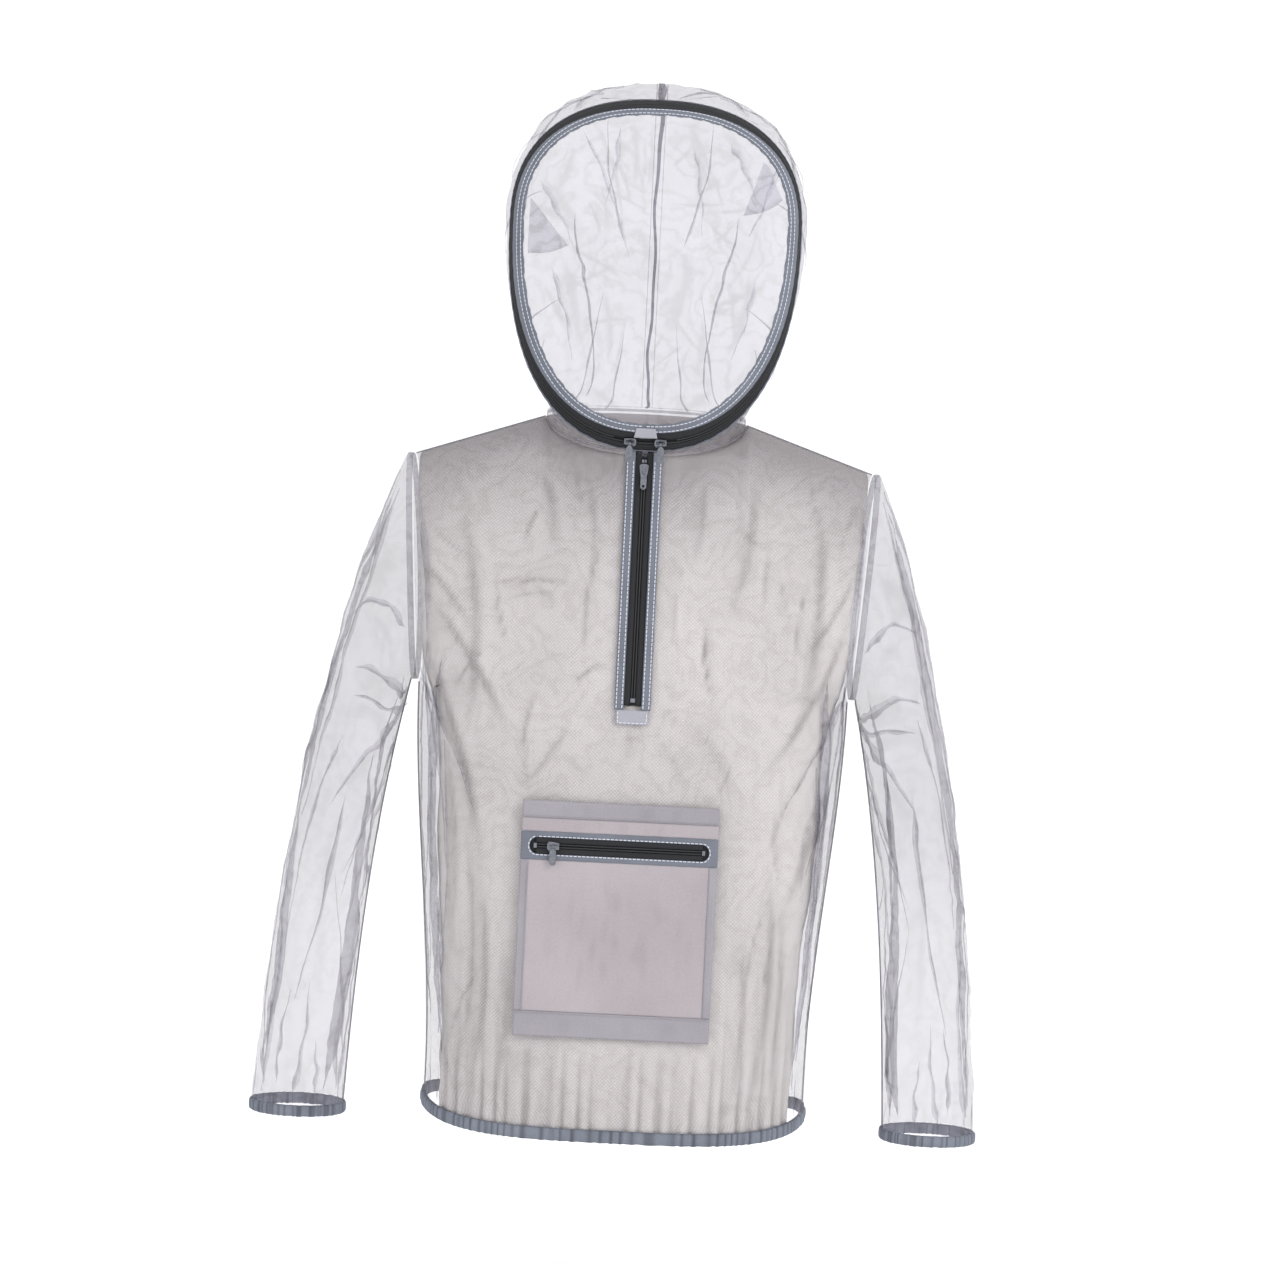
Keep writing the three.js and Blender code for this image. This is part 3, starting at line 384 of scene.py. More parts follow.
def castZinc():
    # Die-cast zinc, nickel plated: grey metal, brushed by use, with duller pits and brighter rubbed patches.
    made, tree, shader = finish("platedCastZinc", "#6f7278", 0.3, metallic=1.0)
    spots = addNode(tree, "TexCoord")
    pits = addNode(tree, "TexNoise", {"Vector": spots.outputs["Object"]})
    pits.inputs["Scale"].default_value = 1400
    pits.inputs["Detail"].default_value = 4
    rubbed = addNode(tree, "TexNoise", {"Vector": spots.outputs["Object"]})
    rubbed.inputs["Scale"].default_value = 260
    colour = addNode(tree, "MixRGB", {0: rubbed.outputs[0]}, in1=hexColour("#54575e"), in2=hexColour("#8d9096"))
    rough = addNode(tree, "MapRange", {0: pits.outputs[0]}, in3=0.22, in4=0.48)
    relief = addNode(tree, "Bump", {"Height": pits.outputs[0]})
    relief.inputs["Strength"].default_value = 0.2
    relief.inputs["Distance"].default_value = 0.0001
    tree.links.new(colour.outputs[0], shader.inputs["Base Color"])
    tree.links.new(rough.outputs[0], shader.inputs["Roughness"])
    tree.links.new(relief.outputs[0], shader.inputs["Normal"])
    return made


zinc = castZinc()


def dress(piece, material, body=None, stands=()):
    piece.data.materials.clear()
    piece.data.materials.append(material)
    if body:
        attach(piece, body)
    if stands:
        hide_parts(*stands)
    return piece


# The jacket's surfaces.

def bodyHalf(z):  # hem to chest by an s-curve, then out to the shoulder point by a power of 1.5
    low = lerp(jacket["hemHalf"], jacket["chestHalf"], smooth(z, jacket["hemZ"] + 40, jacket["armpitZ"]))
    rise = np.clip((z - jacket["armpitZ"]) / (jacket["shoulderZ"] - jacket["armpitZ"]), 0, 1)
    return np.where(z < jacket["armpitZ"], low, lerp(jacket["chestHalf"], jacket["shoulderHalf"], rise**1.5))


def bodyDepth(side, z):  # straight from the neck's reach to the full depth, then even
    fall = np.clip((jacket["neckFrontZ"] - z) / (jacket["neckFrontZ"] - jacket["slopeEnd"]), 0, 1)
    near, far = (jacket["neckFront"], jacket["depthFront"]) if side < 0 else (jacket["neckBack"], jacket["depthBack"])
    return lerp(near, far, fall)


def hemHeight(u):  # the hem rises to the sides by the cube of the share across
    return jacket["hemZ"] + jacket["hemRise"] * np.abs(u) ** 3


def topEdge(side, u):  # the neckline's oval, then the straight shoulder line: depth and height
    x = np.abs(u) * jacket["shoulderHalf"]
    oval = np.sqrt(np.clip(1 - (x / jacket["neckHalf"]) ** 2, 0, 1))
    reach, middleZ = (jacket["neckFront"], jacket["neckFrontZ"]) if side < 0 else (jacket["neckBack"], jacket["neckBackZ"])
    y = np.maximum(jacket["seamEdge"], reach * oval)
    share = (x - jacket["neckHalf"]) / (jacket["shoulderHalf"] - jacket["neckHalf"])
    slope = lerp(jacket["neckSideZ"], jacket["shoulderZ"], share)
    z = np.where(x < jacket["neckHalf"], lerp(jacket["neckSideZ"], middleZ, oval), slope)
    return y, z


def sideReach(z):  # half the armhole's oval down to the armpit, then the seam's edge
    oval = np.sqrt(np.clip(1 - ((armMid - z) / armTall) ** 2, 0, 1))
    low = lerp(jacket["seamEdge"], jacket["armholeDepth"], oval)
    return np.where(z <= jacket["armpitZ"], jacket["seamEdge"], np.where(z >= armMid, jacket["armholeDepth"], low))


def bodyPointAt(side, u, z):
    # Across: the side's own reach rises to the full depth by a superellipse. Up: a quarter oval from the top edge.
    edgeY, edgeZ = topEdge(side, u)
    spread = bodyHalf(z) / jacket["shoulderHalf"] - 1
    crown = np.sqrt(np.clip(1 - np.abs(u) ** 3.4, 0, 1))
    out = lerp(sideReach(z), bodyDepth(side, z), crown)
    drop = np.clip((edgeZ - z) / armTall, 0, 1)
    y = lerp(edgeY, out, np.sqrt(1 - (1 - drop) ** 2))
    return vec(jacket["shoulderHalf"] * u * (1 + spread * u * u), side * y, z)


def bodyNormal(side, u, z):
    place = lambda a, b: bodyPointAt(side, np.clip(a, -0.9995, 0.9995), b)
    n = normalOf(place, np.clip(u, -0.995, 0.995), z, 2e-3, 0.5)
    return n if side < 0 else -n


foldLines = {
    "front": [  # x, z of both ends, width, height, in mm
        (-224, -150, -120, -300, 9, 2.6), (-222, -210, -150, -420, 10, 3.0), (-226, -120, -168, -190, 7, 2.2),
        (224, -160, 130, -330, 9, 2.4), (222, -225, 168, -470, 10, 3.0), (226, -110, 170, -205, 7, 2.2),
        (-150, -141, -62, -137, 4, -2.0), (-140, -158, -78, -147, 3.5, 1.4), (-182, -60, -170, -300, 13, 2.0),
        (180, -50, 172, -280, 13, 2.0), (-104, -20, -84, -110, 12, 1.4), (112, -20, 92, -170, 12, 1.6),
        (-58, -22, -46, -130, 8, 1.4), (60, -24, 52, -120, 8, 1.3), (-150, -430, -158, -660, 9, 2.2),
        (-172, -380, -176, -640, 8, -1.8), (150, -400, 146, -660, 10, 2.2), (170, -450, 168, -670, 8, -1.8),
        (124, -470, 118, -668, 9, 1.7), (-124, -500, -128, -668, 8, 1.6), (-60, -270, -112, -345, 9, 1.4),
        (64, -270, 112, -350, 9, 1.4), (24, -285, 60, -340, 8, 1.1), (-196, -300, -190, -520, 7, 1.8),
        (198, -300, 190, -540, 7, 1.8),
    ],
    "back": [
        (-222, -170, -90, -360, 11, 2.8), (222, -180, 96, -370, 11, 2.8), (-224, -120, -140, -230, 8, 2.2),
        (224, -128, 148, -240, 8, 2.2), (-100, -20, -60, -240, 14, 2.0), (104, -22, 70, -260, 14, 2.0),
        (0, -60, -8, -300, 16, 1.6), (-40, -340, -30, -640, 12, 2.0), (60, -360, 70, -650, 12, 2.0),
        (-120, -380, -130, -650, 11, 2.2), (130, -400, 138, -655, 11, 2.2), (20, -420, 16, -660, 10, -1.6),
        (-80, -470, -86, -665, 9, -1.6), (-172, -420, -176, -650, 9, 2.0), (176, -380, 172, -650, 9, 2.0),
    ],
    "fine": fineCreases(5, 34, (-215, 215), (-640, -40), 0.5, (50, 130))
    + fineCreases(6, 12, (-215, 215), (-300, -90), 1.3, (40, 90)),
    "gatherHeight": 70, "gatherPitch": 17, "gatherLift": 2.0, "crumple": 0.7,
}


def bodyFolds(side, u, z):
    # Drag lines and a slow crumple, hem gathers that fade upwards, all dying out at seams, round the zip and on the pocket.
    x = jacket["shoulderHalf"] * u
    lift, mark = creaseLines(x, z, foldLines["front" if side < 0 else "back"] + foldLines["fine"])
    lift = lift + foldLines["crumple"] * ripple(x, z, 3 + side, 26, 95) + 0.35 * ripple(x, z, 9 + side, 9, 22)
    above = z - hemHeight(u)
    walk = x + 5 * ripple(x, 0 * z, 21 + side, 60, 130)
    tight = walk * 2 * math.pi / (0.62 * foldLines["gatherPitch"]) + 1
    gather = np.sin(walk * 2 * math.pi / foldLines["gatherPitch"]) + 0.6 * np.sin(tight)
    fade = np.exp(-above / foldLines["gatherHeight"])
    lift = lift + foldLines["gatherLift"] * gather * fade
    edge = (1 - smooth(np.abs(u), 0.955, 0.998)) * smooth(topEdge(side, u)[1] - z, 1, 22)
    low = lerp(0.45, 1, smooth(above, 0, 14))
    if side < 0:
        nearZip = (1 - smooth(np.abs(x), 22, 46)) * smooth(z, -296, -272)
        nearPocket = smooth(x, -126, -108) * (1 - smooth(x, 96, 114)) * smooth(z, -612, -596) * (1 - smooth(z, -345, -330))
        edge = edge * (1 - nearZip) * (1 - nearPocket)
    # painted shade: darker in the gather tucks and along the creases
    foldShade = np.clip(-gather, 0, 1) * fade * 0.5 + np.clip(mark, 0, 1) * 0.55
    return lift * edge * low, np.clip(foldShade * edge, 0, 1)


def onBody(side, u, z, lift=0.0):  # the smooth body moved along its normal by the folds and a lift
    rise, mark = bodyFolds(side, u, z)
    return bodyPointAt(side, u, z) + bodyNormal(side, u, z) * (rise + lift)[..., None], mark


def shareAcross(x, z):  # the share u that lands on x at a height, by repeated division
    u = x / jacket["shoulderHalf"]
    for _ in range(5):
        u = x / jacket["shoulderHalf"] / (1 + (bodyHalf(z) / jacket["shoulderHalf"] - 1) * u * u)
    return u


def onFront(x, z, lift=0.0):  # the front surface at a given x and z
    u = shareAcross(x, z)
    return bodyPointAt(-1, u, z) + bodyNormal(-1, u, z) * np.broadcast_to(lift, np.shape(u))[..., None]


bodyLook = {"rows": 190, "innerColumns": 46, "outerColumns": 46, "outerFrom": 0.80, "pleatLift": 2.4}


def bodyGrid(pleats, rows):
    # Columns: an even run from the middle to outerFrom, then the pleated side, where u = 1 - 0.2 (1 - e)^2 crowds to the seam.
    t = np.linspace(0, 1, rows)
    inner = np.concatenate([np.linspace(0, slotU, 4)[:-1], np.linspace(slotU, bodyLook["outerFrom"], bodyLook["innerColumns"])])
    half, lifts = {}, {}
    for hand in (1, -1):
        e, lift = pleated(0.0, 1.0, bodyLook["outerColumns"], pleats(hand, t))
        outer = 1 - (1 - bodyLook["outerFrom"]) * (1 - np.clip(e, 0, 1)) ** 2
        half[hand] = np.concatenate([np.broadcast_to(inner, (rows, len(inner))), outer[:, 1:]], 1) * hand
        lifts[hand] = np.concatenate([np.zeros((rows, len(inner))), lift[:, 1:]], 1)
    u = np.concatenate([half[-1][:, :0:-1], half[1]], 1)
    lift = np.concatenate([lifts[-1][:, :0:-1], lifts[1]], 1)
    return u, lift, t


def sidePleats(side):
    def pleats(hand, t):
        # Each pleat: centre and width in shares of the side strip, widest about chest height, closing at hem and armpit.
        body = smooth(t, 0.04, 0.2) * (1 - smooth(t, 0.52, 0.66))
        high = bodyLook["pleatLift"]
        wave = 0.04 * np.sin(t * 9 + hand + side)
        first = (0.16 + wave, (0.13 + 0.04 * np.sin(7 * t + side)) * body + 1e-4, high)
        second = (0.52 + wave * 0.6, (0.07 + 0.02 * np.sin(11 * t + hand)) * body * smooth(t, 0.0, 0.3) + 1e-4, high * 0.7)
        return [first, second] if side < 0 else [first]
    return pleats


def bodyPanel(side, name):  # rows run straight from the hem to the top edge, with the zip slot left out in front
    u, lift, t = bodyGrid(sidePleats(side), bodyLook["rows"])
    topZ = topEdge(side, u)[1]
    t = np.unique(np.concatenate([np.linspace(0, slotT, 110), np.linspace(slotT, 1, bodyLook["rows"] - 109)]))
    z = lerp(hemHeight(u), topZ, t[:, None])
    points, mark = onBody(side, u, z, lift)
    middleU, middleT = np.abs((u[0, 1:] + u[0, :-1]) / 2), (t[1:] + t[:-1]) / 2
    keep = np.ones((len(t) - 1, u.shape[1] - 1), bool)
    if side < 0:
        keep = ~((middleU[None, :] < slotU - 1e-6) & (middleT[:, None] > slotT))
    shade = 0.5 * np.exp(-np.abs(topZ - z) / 34) * (1 - smooth(np.abs(u), 0.97, 1))  # painted shade under the neckline and shoulder seams, fading down from the top edge
    return sheetMesh(name, points, keep=keep, marks=mark + shade, outFrom=(0, side, 0))


liningLook = {"columns": 97, "foot": -0.006, "inset": -3.0, "topRise": 2.1}


def liningPanel(side, name):
    # Columns are shares of the lining's own half width: nearly the whole panel above the armpit, less below it.
    e = np.linspace(-1, 1, liningLook["columns"])
    t = np.unique(np.concatenate([np.linspace(liningLook["foot"], slotT, 70), np.linspace(slotT, jacket["liningTop"], 60)]))
    share, rows = np.meshgrid(e, t)
    wide = lerp(jacket["liningEdge"], jacket["liningShoulder"], smooth(rows, 0.56, 0.72)) + 0.008 * np.sin(rows * 23 + side)
    u = share * (wide - slotU) + np.sign(share) * slotU
    z = lerp(hemHeight(u), topEdge(side, u)[1], rows)
    points, mark = onBody(side, u, z, liningLook["inset"] + liningLook["topRise"] * smooth(rows, 0.965, 1))
    keep = np.ones((len(t) - 1, len(e) - 1), bool)
    if side < 0:
        crossing = (e[1:] > 0) & (e[:-1] <= 0) | (e[1:] == 0) | (e[:-1] == 0)
        keep = ~(crossing[None, :] & ((t[1:] + t[:-1]) / 2 > slotT)[:, None])
    # painted shade: the lining darker towards its top edge, under the neckline and shoulders; its creases get painted
    # shade too
    topShade = 0.8 * np.exp(-(topEdge(side, u)[1] - z) / 50)
    return thicken(sheetMesh(name, points, keep=keep, marks=mark * 0.8 + topShade, outFrom=(0, side, 0)), thickness["lining"])


def laidFold(place, ends, layers=2, lift=0.9, steps=46):
    # A flat fold of net: a wedge from one surface place to another, narrowing along, bowed a little to one side, in two layers.
    # place(a, b) gives a point and its outward normal; a and b are the surface's own coordinates.
    a0, b0, a1, b1, width = ends
    q, w = np.meshgrid(np.linspace(0.001, 0.999, steps), np.linspace(-0.5, 0.5, 6), indexing="ij")
    nudge = 0.1  # a small step in each coordinate at the middle tells how many mm one unit is
    midA, midB = np.full((1, 1), (a0 + a1) / 2), np.full((1, 1), (b0 + b1) / 2)
    here = place(midA, midB)[0]
    mmA = np.linalg.norm(place(midA + nudge, midB)[0] - here) / nudge
    mmB = np.linalg.norm(place(midA, midB + nudge)[0] - here) / nudge
    da, db = (a1 - a0) * mmA, (b1 - b0) * mmB
    long = math.hypot(da, db)
    shape = smooth(q, 0, 0.16) * (1 - q) ** 0.8 * width * (1 + 0.3 * np.sin(q * 11 + a0) + 0.2 * np.sin(q * 23 + b0))
    found = []
    for k in range(layers):
        off = shape * (w * (1 - 0.55 * k) - 0.2 * k)
        off = off + long * 0.035 * np.sin(math.pi * q) + 1.2 * np.sin(q * 14 + b0) * np.sin(math.pi * q)
        p, n = place(lerp(a0, a1, q) + off * (-db / long) / mmA, lerp(b0, b1, q) + off * (da / long) / mmB)
        # painted shade along the fold's turned edge
        marks = 0.3 * np.exp(-(((w + 0.5) / 0.16) ** 2))
        found.append((p + n * (lift + 0.7 * k + 0.5 * np.cos(math.pi * w)[..., None]), marks))
    return found


def foldPiece(name, place, rows, outFrom):  # all the laid folds of one cloth, joined
    parts = []
    for number, ends in enumerate(rows):
        for layer, (p, marks) in enumerate(laidFold(place, ends)):
            parts.append(sheetMesh("%s_%d_%d" % (name, number, layer), p, marks=marks, outFrom=outFrom))
    return joinPieces(name, parts)


def bodyPlace(side):
    def place(x, z):
        u = np.clip(shareAcross(x, z), -0.985, 0.985)
        return onBody(side, u, z)[0], bodyNormal(side, u, z)
    return place


bodyFoldRows = {
    "front": [
        (-213, -205, -192, -560, 9), (213, -200, 191, -580, 10), (-196, -660, -198, -330, 8), (195, -664, 197, -340, 8),
        (-186, -300, -182, -600, 5), (187, -310, 181, -610, 5), (-222, -60, -209, -262, 9), (223, -50, 209, -255, 9),
        (-214, -240, -150, -372, 8), (213, -236, 156, -352, 8), (-214, -228, -178, -430, 7), (214, -226, 180, -420, 7),
    ],
    "back": [
        (-208, -225, -192, -560, 10), (208, -215, 191, -560, 10), (-220, -70, -204, -270, 9), (221, -70, 203, -270, 9),
        (-212, -240, -120, -400, 9), (212, -236, 126, -410, 9)
    ],
}
for side, label in ((-1, "front"), (1, "back")):
    dress(foldPiece(label + "NetFolds", bodyPlace(side), bodyFoldRows[label], (0, side, 0)), netting, "body")

frontPanel = dress(bodyPanel(-1, "frontPanelNet"), netting, "body", ["front_panel"])
backPanel = dress(bodyPanel(1, "backPanelNet"), netting, "body", ["back_panel"])
liningFront = dress(liningPanel(-1, "liningFrontCotton"), lining, "body", ["lining_front"])
liningBack = dress(liningPanel(1, "liningBackCotton"), lining, "body", ["lining_back"])
print("body panels and lining made")


# Seams of the body.

def seamStrip(name, points, outFrom, stands, closed=False, material=None):  # a seam tape with its thickness and finish
    piece = thicken(sheetMesh(name, points, closed=closed, outFrom=outFrom), thickness["seam"])
    return dress(piece, material or seamNet, "body", stands)


def sideSeam(hand, label):  # a band up the body's side, its middle raised by a parabola
    w = np.linspace(-1, 1, 7)
    z = np.linspace(hemHeight(1.0) + 0.4, jacket["armpitZ"] - 3, 120)
    wGrid, zGrid = np.meshgrid(w, z)
    x = hand * (bodyHalf(zGrid) + 0.45 * (1 - wGrid * wGrid))
    return seamStrip("sideSeam" + label, vec(x, wGrid * jacket["seamHalf"], zGrid), (hand, 0, 0), ["side_seam_" + label.lower()])


def shoulderSeam(hand, label):  # a band along the shoulder line, its middle raised by a parabola
    w = np.linspace(-1, 1, 7)
    x = np.linspace(jacket["neckHalf"] + 1.5, jacket["shoulderHalf"] - 0.5, 50)
    wGrid, xGrid = np.meshgrid(w, x)
    z = topEdge(-1, xGrid / jacket["shoulderHalf"])[1] + 0.45 * (1 - wGrid * wGrid)
    return seamStrip(
        "shoulderSeam" + label, vec(hand * xGrid, wGrid * jacket["seamHalf"], z), (0, 0, 1), ["shoulder_seam_" + label.lower()]
    )


def neckPoint(angle):  # an oval of two half depths, its height straight in the sine from side to middle
    s, c = np.sin(angle * deg), np.cos(angle * deg)
    reach = np.where(s < 0, jacket["neckFront"], jacket["neckBack"])
    z = lerp(jacket["neckSideZ"], np.where(s < 0, jacket["neckFrontZ"], jacket["neckBackZ"]), np.abs(s))
    return vec(jacket["neckHalf"] * c, reach * s, z)


def uprightAxis(c):  # the point of the Z axis level with each face
    return c * np.array([0, 0, 1.0])


def neckSeam():
    w = np.linspace(0, 1, 5)
    angle = np.linspace(-90, 270, 241)[:-1]
    angleGrid, wGrid = np.meshgrid(angle, w)
    p = neckPoint(angleGrid) + vec(0 * angleGrid, 0 * angleGrid, lerp(2.1, 5.0, wGrid))
    under = sheetMesh(
        "neckAllowance", neckPoint(angleGrid) + vec(0 * angleGrid, 0 * angleGrid, lerp(-0.6, 7.4, wGrid)), closed=True,
        outFrom=uprightAxis
    )
    dress(under, netting, "body")
    return seamStrip("neckSeamTape", p, uprightAxis, ["neck_seam"], closed=True, material=netting)


for hand, label in ((1, "Left"), (-1, "Right")):
    sideSeam(hand, label)
    shoulderSeam(hand, label)
neckSeam()


# Elastic hem and cuffs.

casingLook = {"hemColumns": 900, "cuffColumns": 260, "profile": 14, "hemGathers": 118, "cuffGathers": 34}


def casingRing(name, loop, height, spread, gathers, seed, columns):
    # A folded channel round the loop: a flattened oval section, puckered by gathers whose depth and spacing drift.
    w = np.linspace(0, 1, columns + 1)[:-1]
    base = loop(w)
    tangent = np.roll(base, -1, 0) - np.roll(base, 1, 0)
    out = unit(vec(tangent[:, 1], -tangent[:, 0], 0 * w))
    out = out * np.sign((out * (base - base.mean(0))).sum())
    k = np.linspace(0, 2 * math.pi, casingLook["profile"] + 1)[:-1]
    kGrid, wGrid = np.meshgrid(k, w, indexing="ij")
    turns = 2 * math.pi * wGrid
    drift = 0.55 * np.sin(turns * 5 + seed) + 0.4 * np.sin(turns * 11 + 2 * seed) + 0.3 * np.sin(turns * 23 + seed)
    wave = np.sin(2 * math.pi * (gathers * wGrid + drift)) + 0.5 * np.sin(2 * math.pi * (1.7 * gathers * wGrid + 2 * drift) + 1)
    across = np.sign(np.cos(kGrid)) * np.abs(np.cos(kGrid)) ** 0.6 * (spread + 0.35) * (1 + 0.16 * wave)
    down = -(height / 2 + 0.5) - np.sign(np.sin(kGrid)) * np.abs(np.sin(kGrid)) ** 0.5 * height / 2
    down = down + np.where(np.sin(kGrid) > 0, 0.35 * wave, 0.15 * wave)
    p = base[None] + out[None] * (across + 0.3 * wave)[..., None] + vec(0 * kGrid, 0 * kGrid, down)
    # painted shade: darker in the gather tucks and towards the channel's top and bottom edges
    mark = np.clip(-wave, 0, 1.2) * 0.4 + 0.12 * np.sin(kGrid) ** 2
    ring = np.concatenate([p, p[:1]], 0)
    return sheetMesh(
        name, ring, closed=True, marks=np.concatenate([mark, mark[:1]], 0), outFrom=lambda c: coreOf(c, base), merge=True
    )


def coreOf(c, base):  # the point of the loop under each face
    near = np.argmin(((c[:, None, :2] - base[None, ::6, :2]) ** 2).sum(-1), 1)
    core = base[::6][near].copy()
    core[:, 2] = c[:, 2].mean()
    return core


def hemLoop(w):  # once round the hem: along the front, then back along the back, crowded to the sides
    turn = w % 1
    angle = np.where(turn < 0.5, lerp(-90, 90, turn * 2), lerp(90, -90, turn * 2 - 1))
    u = np.sin(angle * deg)
    return np.where((turn < 0.5)[:, None], bodyPointAt(-1, u, hemHeight(u)), bodyPointAt(1, u, hemHeight(u)))


dress(
    casingRing("hemCasing", hemLoop, 12.6, 2.4, casingLook["hemGathers"], 1.0, casingLook["hemColumns"]), casing,
    "body", ["hem_casing"]
)


# Sleeves.

def armholePoint(angle, out):  # an upright oval, moved out along X from the body's side
    z = armMid + armTall * np.cos(angle * deg)
    return vec(bodyHalf(z) + out, -jacket["armholeDepth"] * np.sin(angle * deg), z)


def cuffPoint(angle):  # a level oval
    return vec(
        jacket["cuffX"] + jacket["cuffHalf"] * np.cos(angle * deg), -jacket["cuffDepth"] * np.sin(angle * deg), jacket["cuffZ"]
    )


sleeveShape = {  # each pair: under the arm, then over the shoulder
    "seamOut": 8.45, "leaveOut": (33, 80), "leaveDown": (-150, -200), "arriveOut": (-7, -12), "arriveUp": (150, 230),
}


def sleevePoint(angle, t):  # a cubic curve from armhole to cuff, fuller over the shoulder
    top = (1 + np.cos(angle * deg)) / 2
    start, end = armholePoint(angle, sleeveShape["seamOut"]), cuffPoint(angle)
    leave = start + vec(lerp(*sleeveShape["leaveOut"], top), 0 * top, lerp(*sleeveShape["leaveDown"], top))
    arrive = end + vec(lerp(*sleeveShape["arriveOut"], top), 0 * top, lerp(*sleeveShape["arriveUp"], top))
    t = np.asarray(t)[..., None]
    return (1 - t) ** 3 * start + 3 * (1 - t) ** 2 * t * leave + 3 * (1 - t) * t * t * arrive + t**3 * end


sleeveLook = {
    "rows": 210, "columns": 190, "crumple": 1.0, "pleatLift": 2.2, "long": 700, "squeeze": 0.55, "allowance": 0.012,
    "allowanceIn": 7.0
}
armSeed = {1: 1, -1: 2}
sleeveLines = [  # angle, place along x 700, width, height: drag folds from the armpit, elbow creases, gathers at the wrist
    (500, 40, 440, 190, 9, 4.0), (515, 90, 420, 260, 8, -3.4), (495, 150, 455, 300, 7, 3.0), (525, 130, 470, 330, 7, 3.2),
    (440, 20, 400, 160, 9, 3.0), (470, 60, 430, 120, 6, -2.6), (380, 20, 372, 260, 9, 2.4), (420, 300, 395, 520, 9, 2.0),
    (450, 330, 470, 560, 10, 2.4), (505, 330, 520, 600, 8, 2.2), (430, 450, 440, 660, 8, 1.6), (400, 480, 392, 660, 7, 1.5),
    (220, 60, 300, 220, 10, 3.0), (240, 160, 280, 360, 9, -2.4), (300, 40, 330, 240, 10, 2.4), (260, 380, 270, 600, 9, 2.0),
    (320, 420, 310, 640, 9, 2.0), (205, 220, 235, 430, 8, 2.2), (345, 100, 350, 420, 9, 2.0),
]


def sleeveNet(hand, label):
    t = np.linspace(-sleeveLook["allowance"], 1, sleeveLook["rows"])
    radius = lerp(jacket["armholeDepth"], jacket["cuffDepth"], t)
    edge = jacket["seamEdge"] / radius / deg
    turnOf = lambda mm: mm / radius / deg
    seed = armSeed[hand]
    outerOn = smooth(t, 0.02, 0.12) * (1 - smooth(t, 0.72, 0.96))
    innerOn = smooth(t, 0.24, 0.36) * (1 - smooth(t, 0.86, 0.99))
    backOn = smooth(t, 0.1, 0.3) * (1 - smooth(t, 0.5, 0.8))
    high = sleeveLook["pleatLift"]
    pleats = [
        (360 + 24 + 16 * t + 4 * np.sin(6 * t + seed), turnOf(19 + 6 * np.sin(5 * t + seed)) * outerOn + 1e-3, high),
        (540 - 62 + 12 * t + 5 * np.sin(7 * t + 2 * seed), turnOf(13 + 4 * np.sin(9 * t + seed)) * innerOn + 1e-3, high),
        (225 + 20 * np.sin(3 * t + seed), turnOf(9 + 3 * np.sin(8 * t)) * backOn + 1e-3, high),
    ]
    around = 360 - 2 * edge
    shares = [((c - 180 - edge) / around, w / around, h) for c, w, h in pleats]
    span, lift = pleated(0.0, 1.0, sleeveLook["columns"], shares)
    angle = 180 + edge[:, None] + np.clip(span, 0, 1) * around[:, None]
    tGrid = np.broadcast_to(t[:, None], angle.shape)
    points, n, marks = sleeveCloth(angle, tGrid, seed)
    points = points + n * lift[..., None]
    points[..., 0] *= hand
    return sheetMesh("sleeveNet" + label, points, marks=marks, outFrom=lambda c: sleeveCore(c, hand))


def sleeveCloth(angle, tGrid, seed):
    # The plain sleeve with its drag folds, a slow crumple, gathers above the cuff and easing at the armhole.
    radius = lerp(jacket["armholeDepth"], jacket["cuffDepth"], tGrid)
    edge = jacket["seamEdge"] / radius / deg
    # the seam allowance, straight in to the body's edge
    under = np.minimum(tGrid, 0) / sleeveLook["allowance"] * sleeveLook["allowanceIn"]
    tGrid = np.maximum(tGrid, 0)
    base = sleevePoint(angle, tGrid) + vec(under, 0 * under, 0 * under)
    n = normalOf(sleevePoint, angle, np.clip(tGrid, 0.002, 0.998), 0.2, 1e-3)
    middle = sleevePoint(angle + 180, tGrid)
    n = n * np.sign(((base - middle) * n).sum(-1, keepdims=True))
    far = (angle - 360) * deg * radius
    down = tGrid * sleeveLook["long"]
    squeeze = sleeveLook["squeeze"]  # brings mm along to about the same scale as degrees round
    scattered = fineCreases(70 + seed, 56, (195, 525), (10, 640), 0.7, (50, 170))
    lines = [(a0, d0 * squeeze, a1, d1 * squeeze, w, h) for a0, d0, a1, d1, w, h in sleeveLines + scattered]
    folds, mark = creaseLines(angle, down * squeeze, lines)
    folds = folds + sleeveLook["crumple"] * ripple(far, down, 40 + seed, 30, 120) + 0.4 * ripple(far, down, 50 + seed, 10, 26)
    gather = np.sin(far * 2 * math.pi / 11 + 2 * np.sin(far / 19)) * np.exp(-(1 - tGrid) * sleeveLook["long"] / 40)
    top = np.sin(far * 2 * math.pi / 23) * np.exp(-tGrid * sleeveLook["long"] / 45) * 0.8
    seamless = smooth(np.minimum(angle - 180 - edge, 540 - edge - angle), 0, 9)
    calm = smooth(tGrid, 0.0, 0.03) * lerp(0.5, 1, 1 - smooth(tGrid, 0.97, 1))
    total = (folds + 1.6 * gather + top) * seamless * calm
    # painted shade: the returned marks darken the creases and the gather tucks above the cuff
    return base + n * total[..., None], n, (mark * 0.6 + np.clip(-gather, 0, 1) * 0.35) * seamless


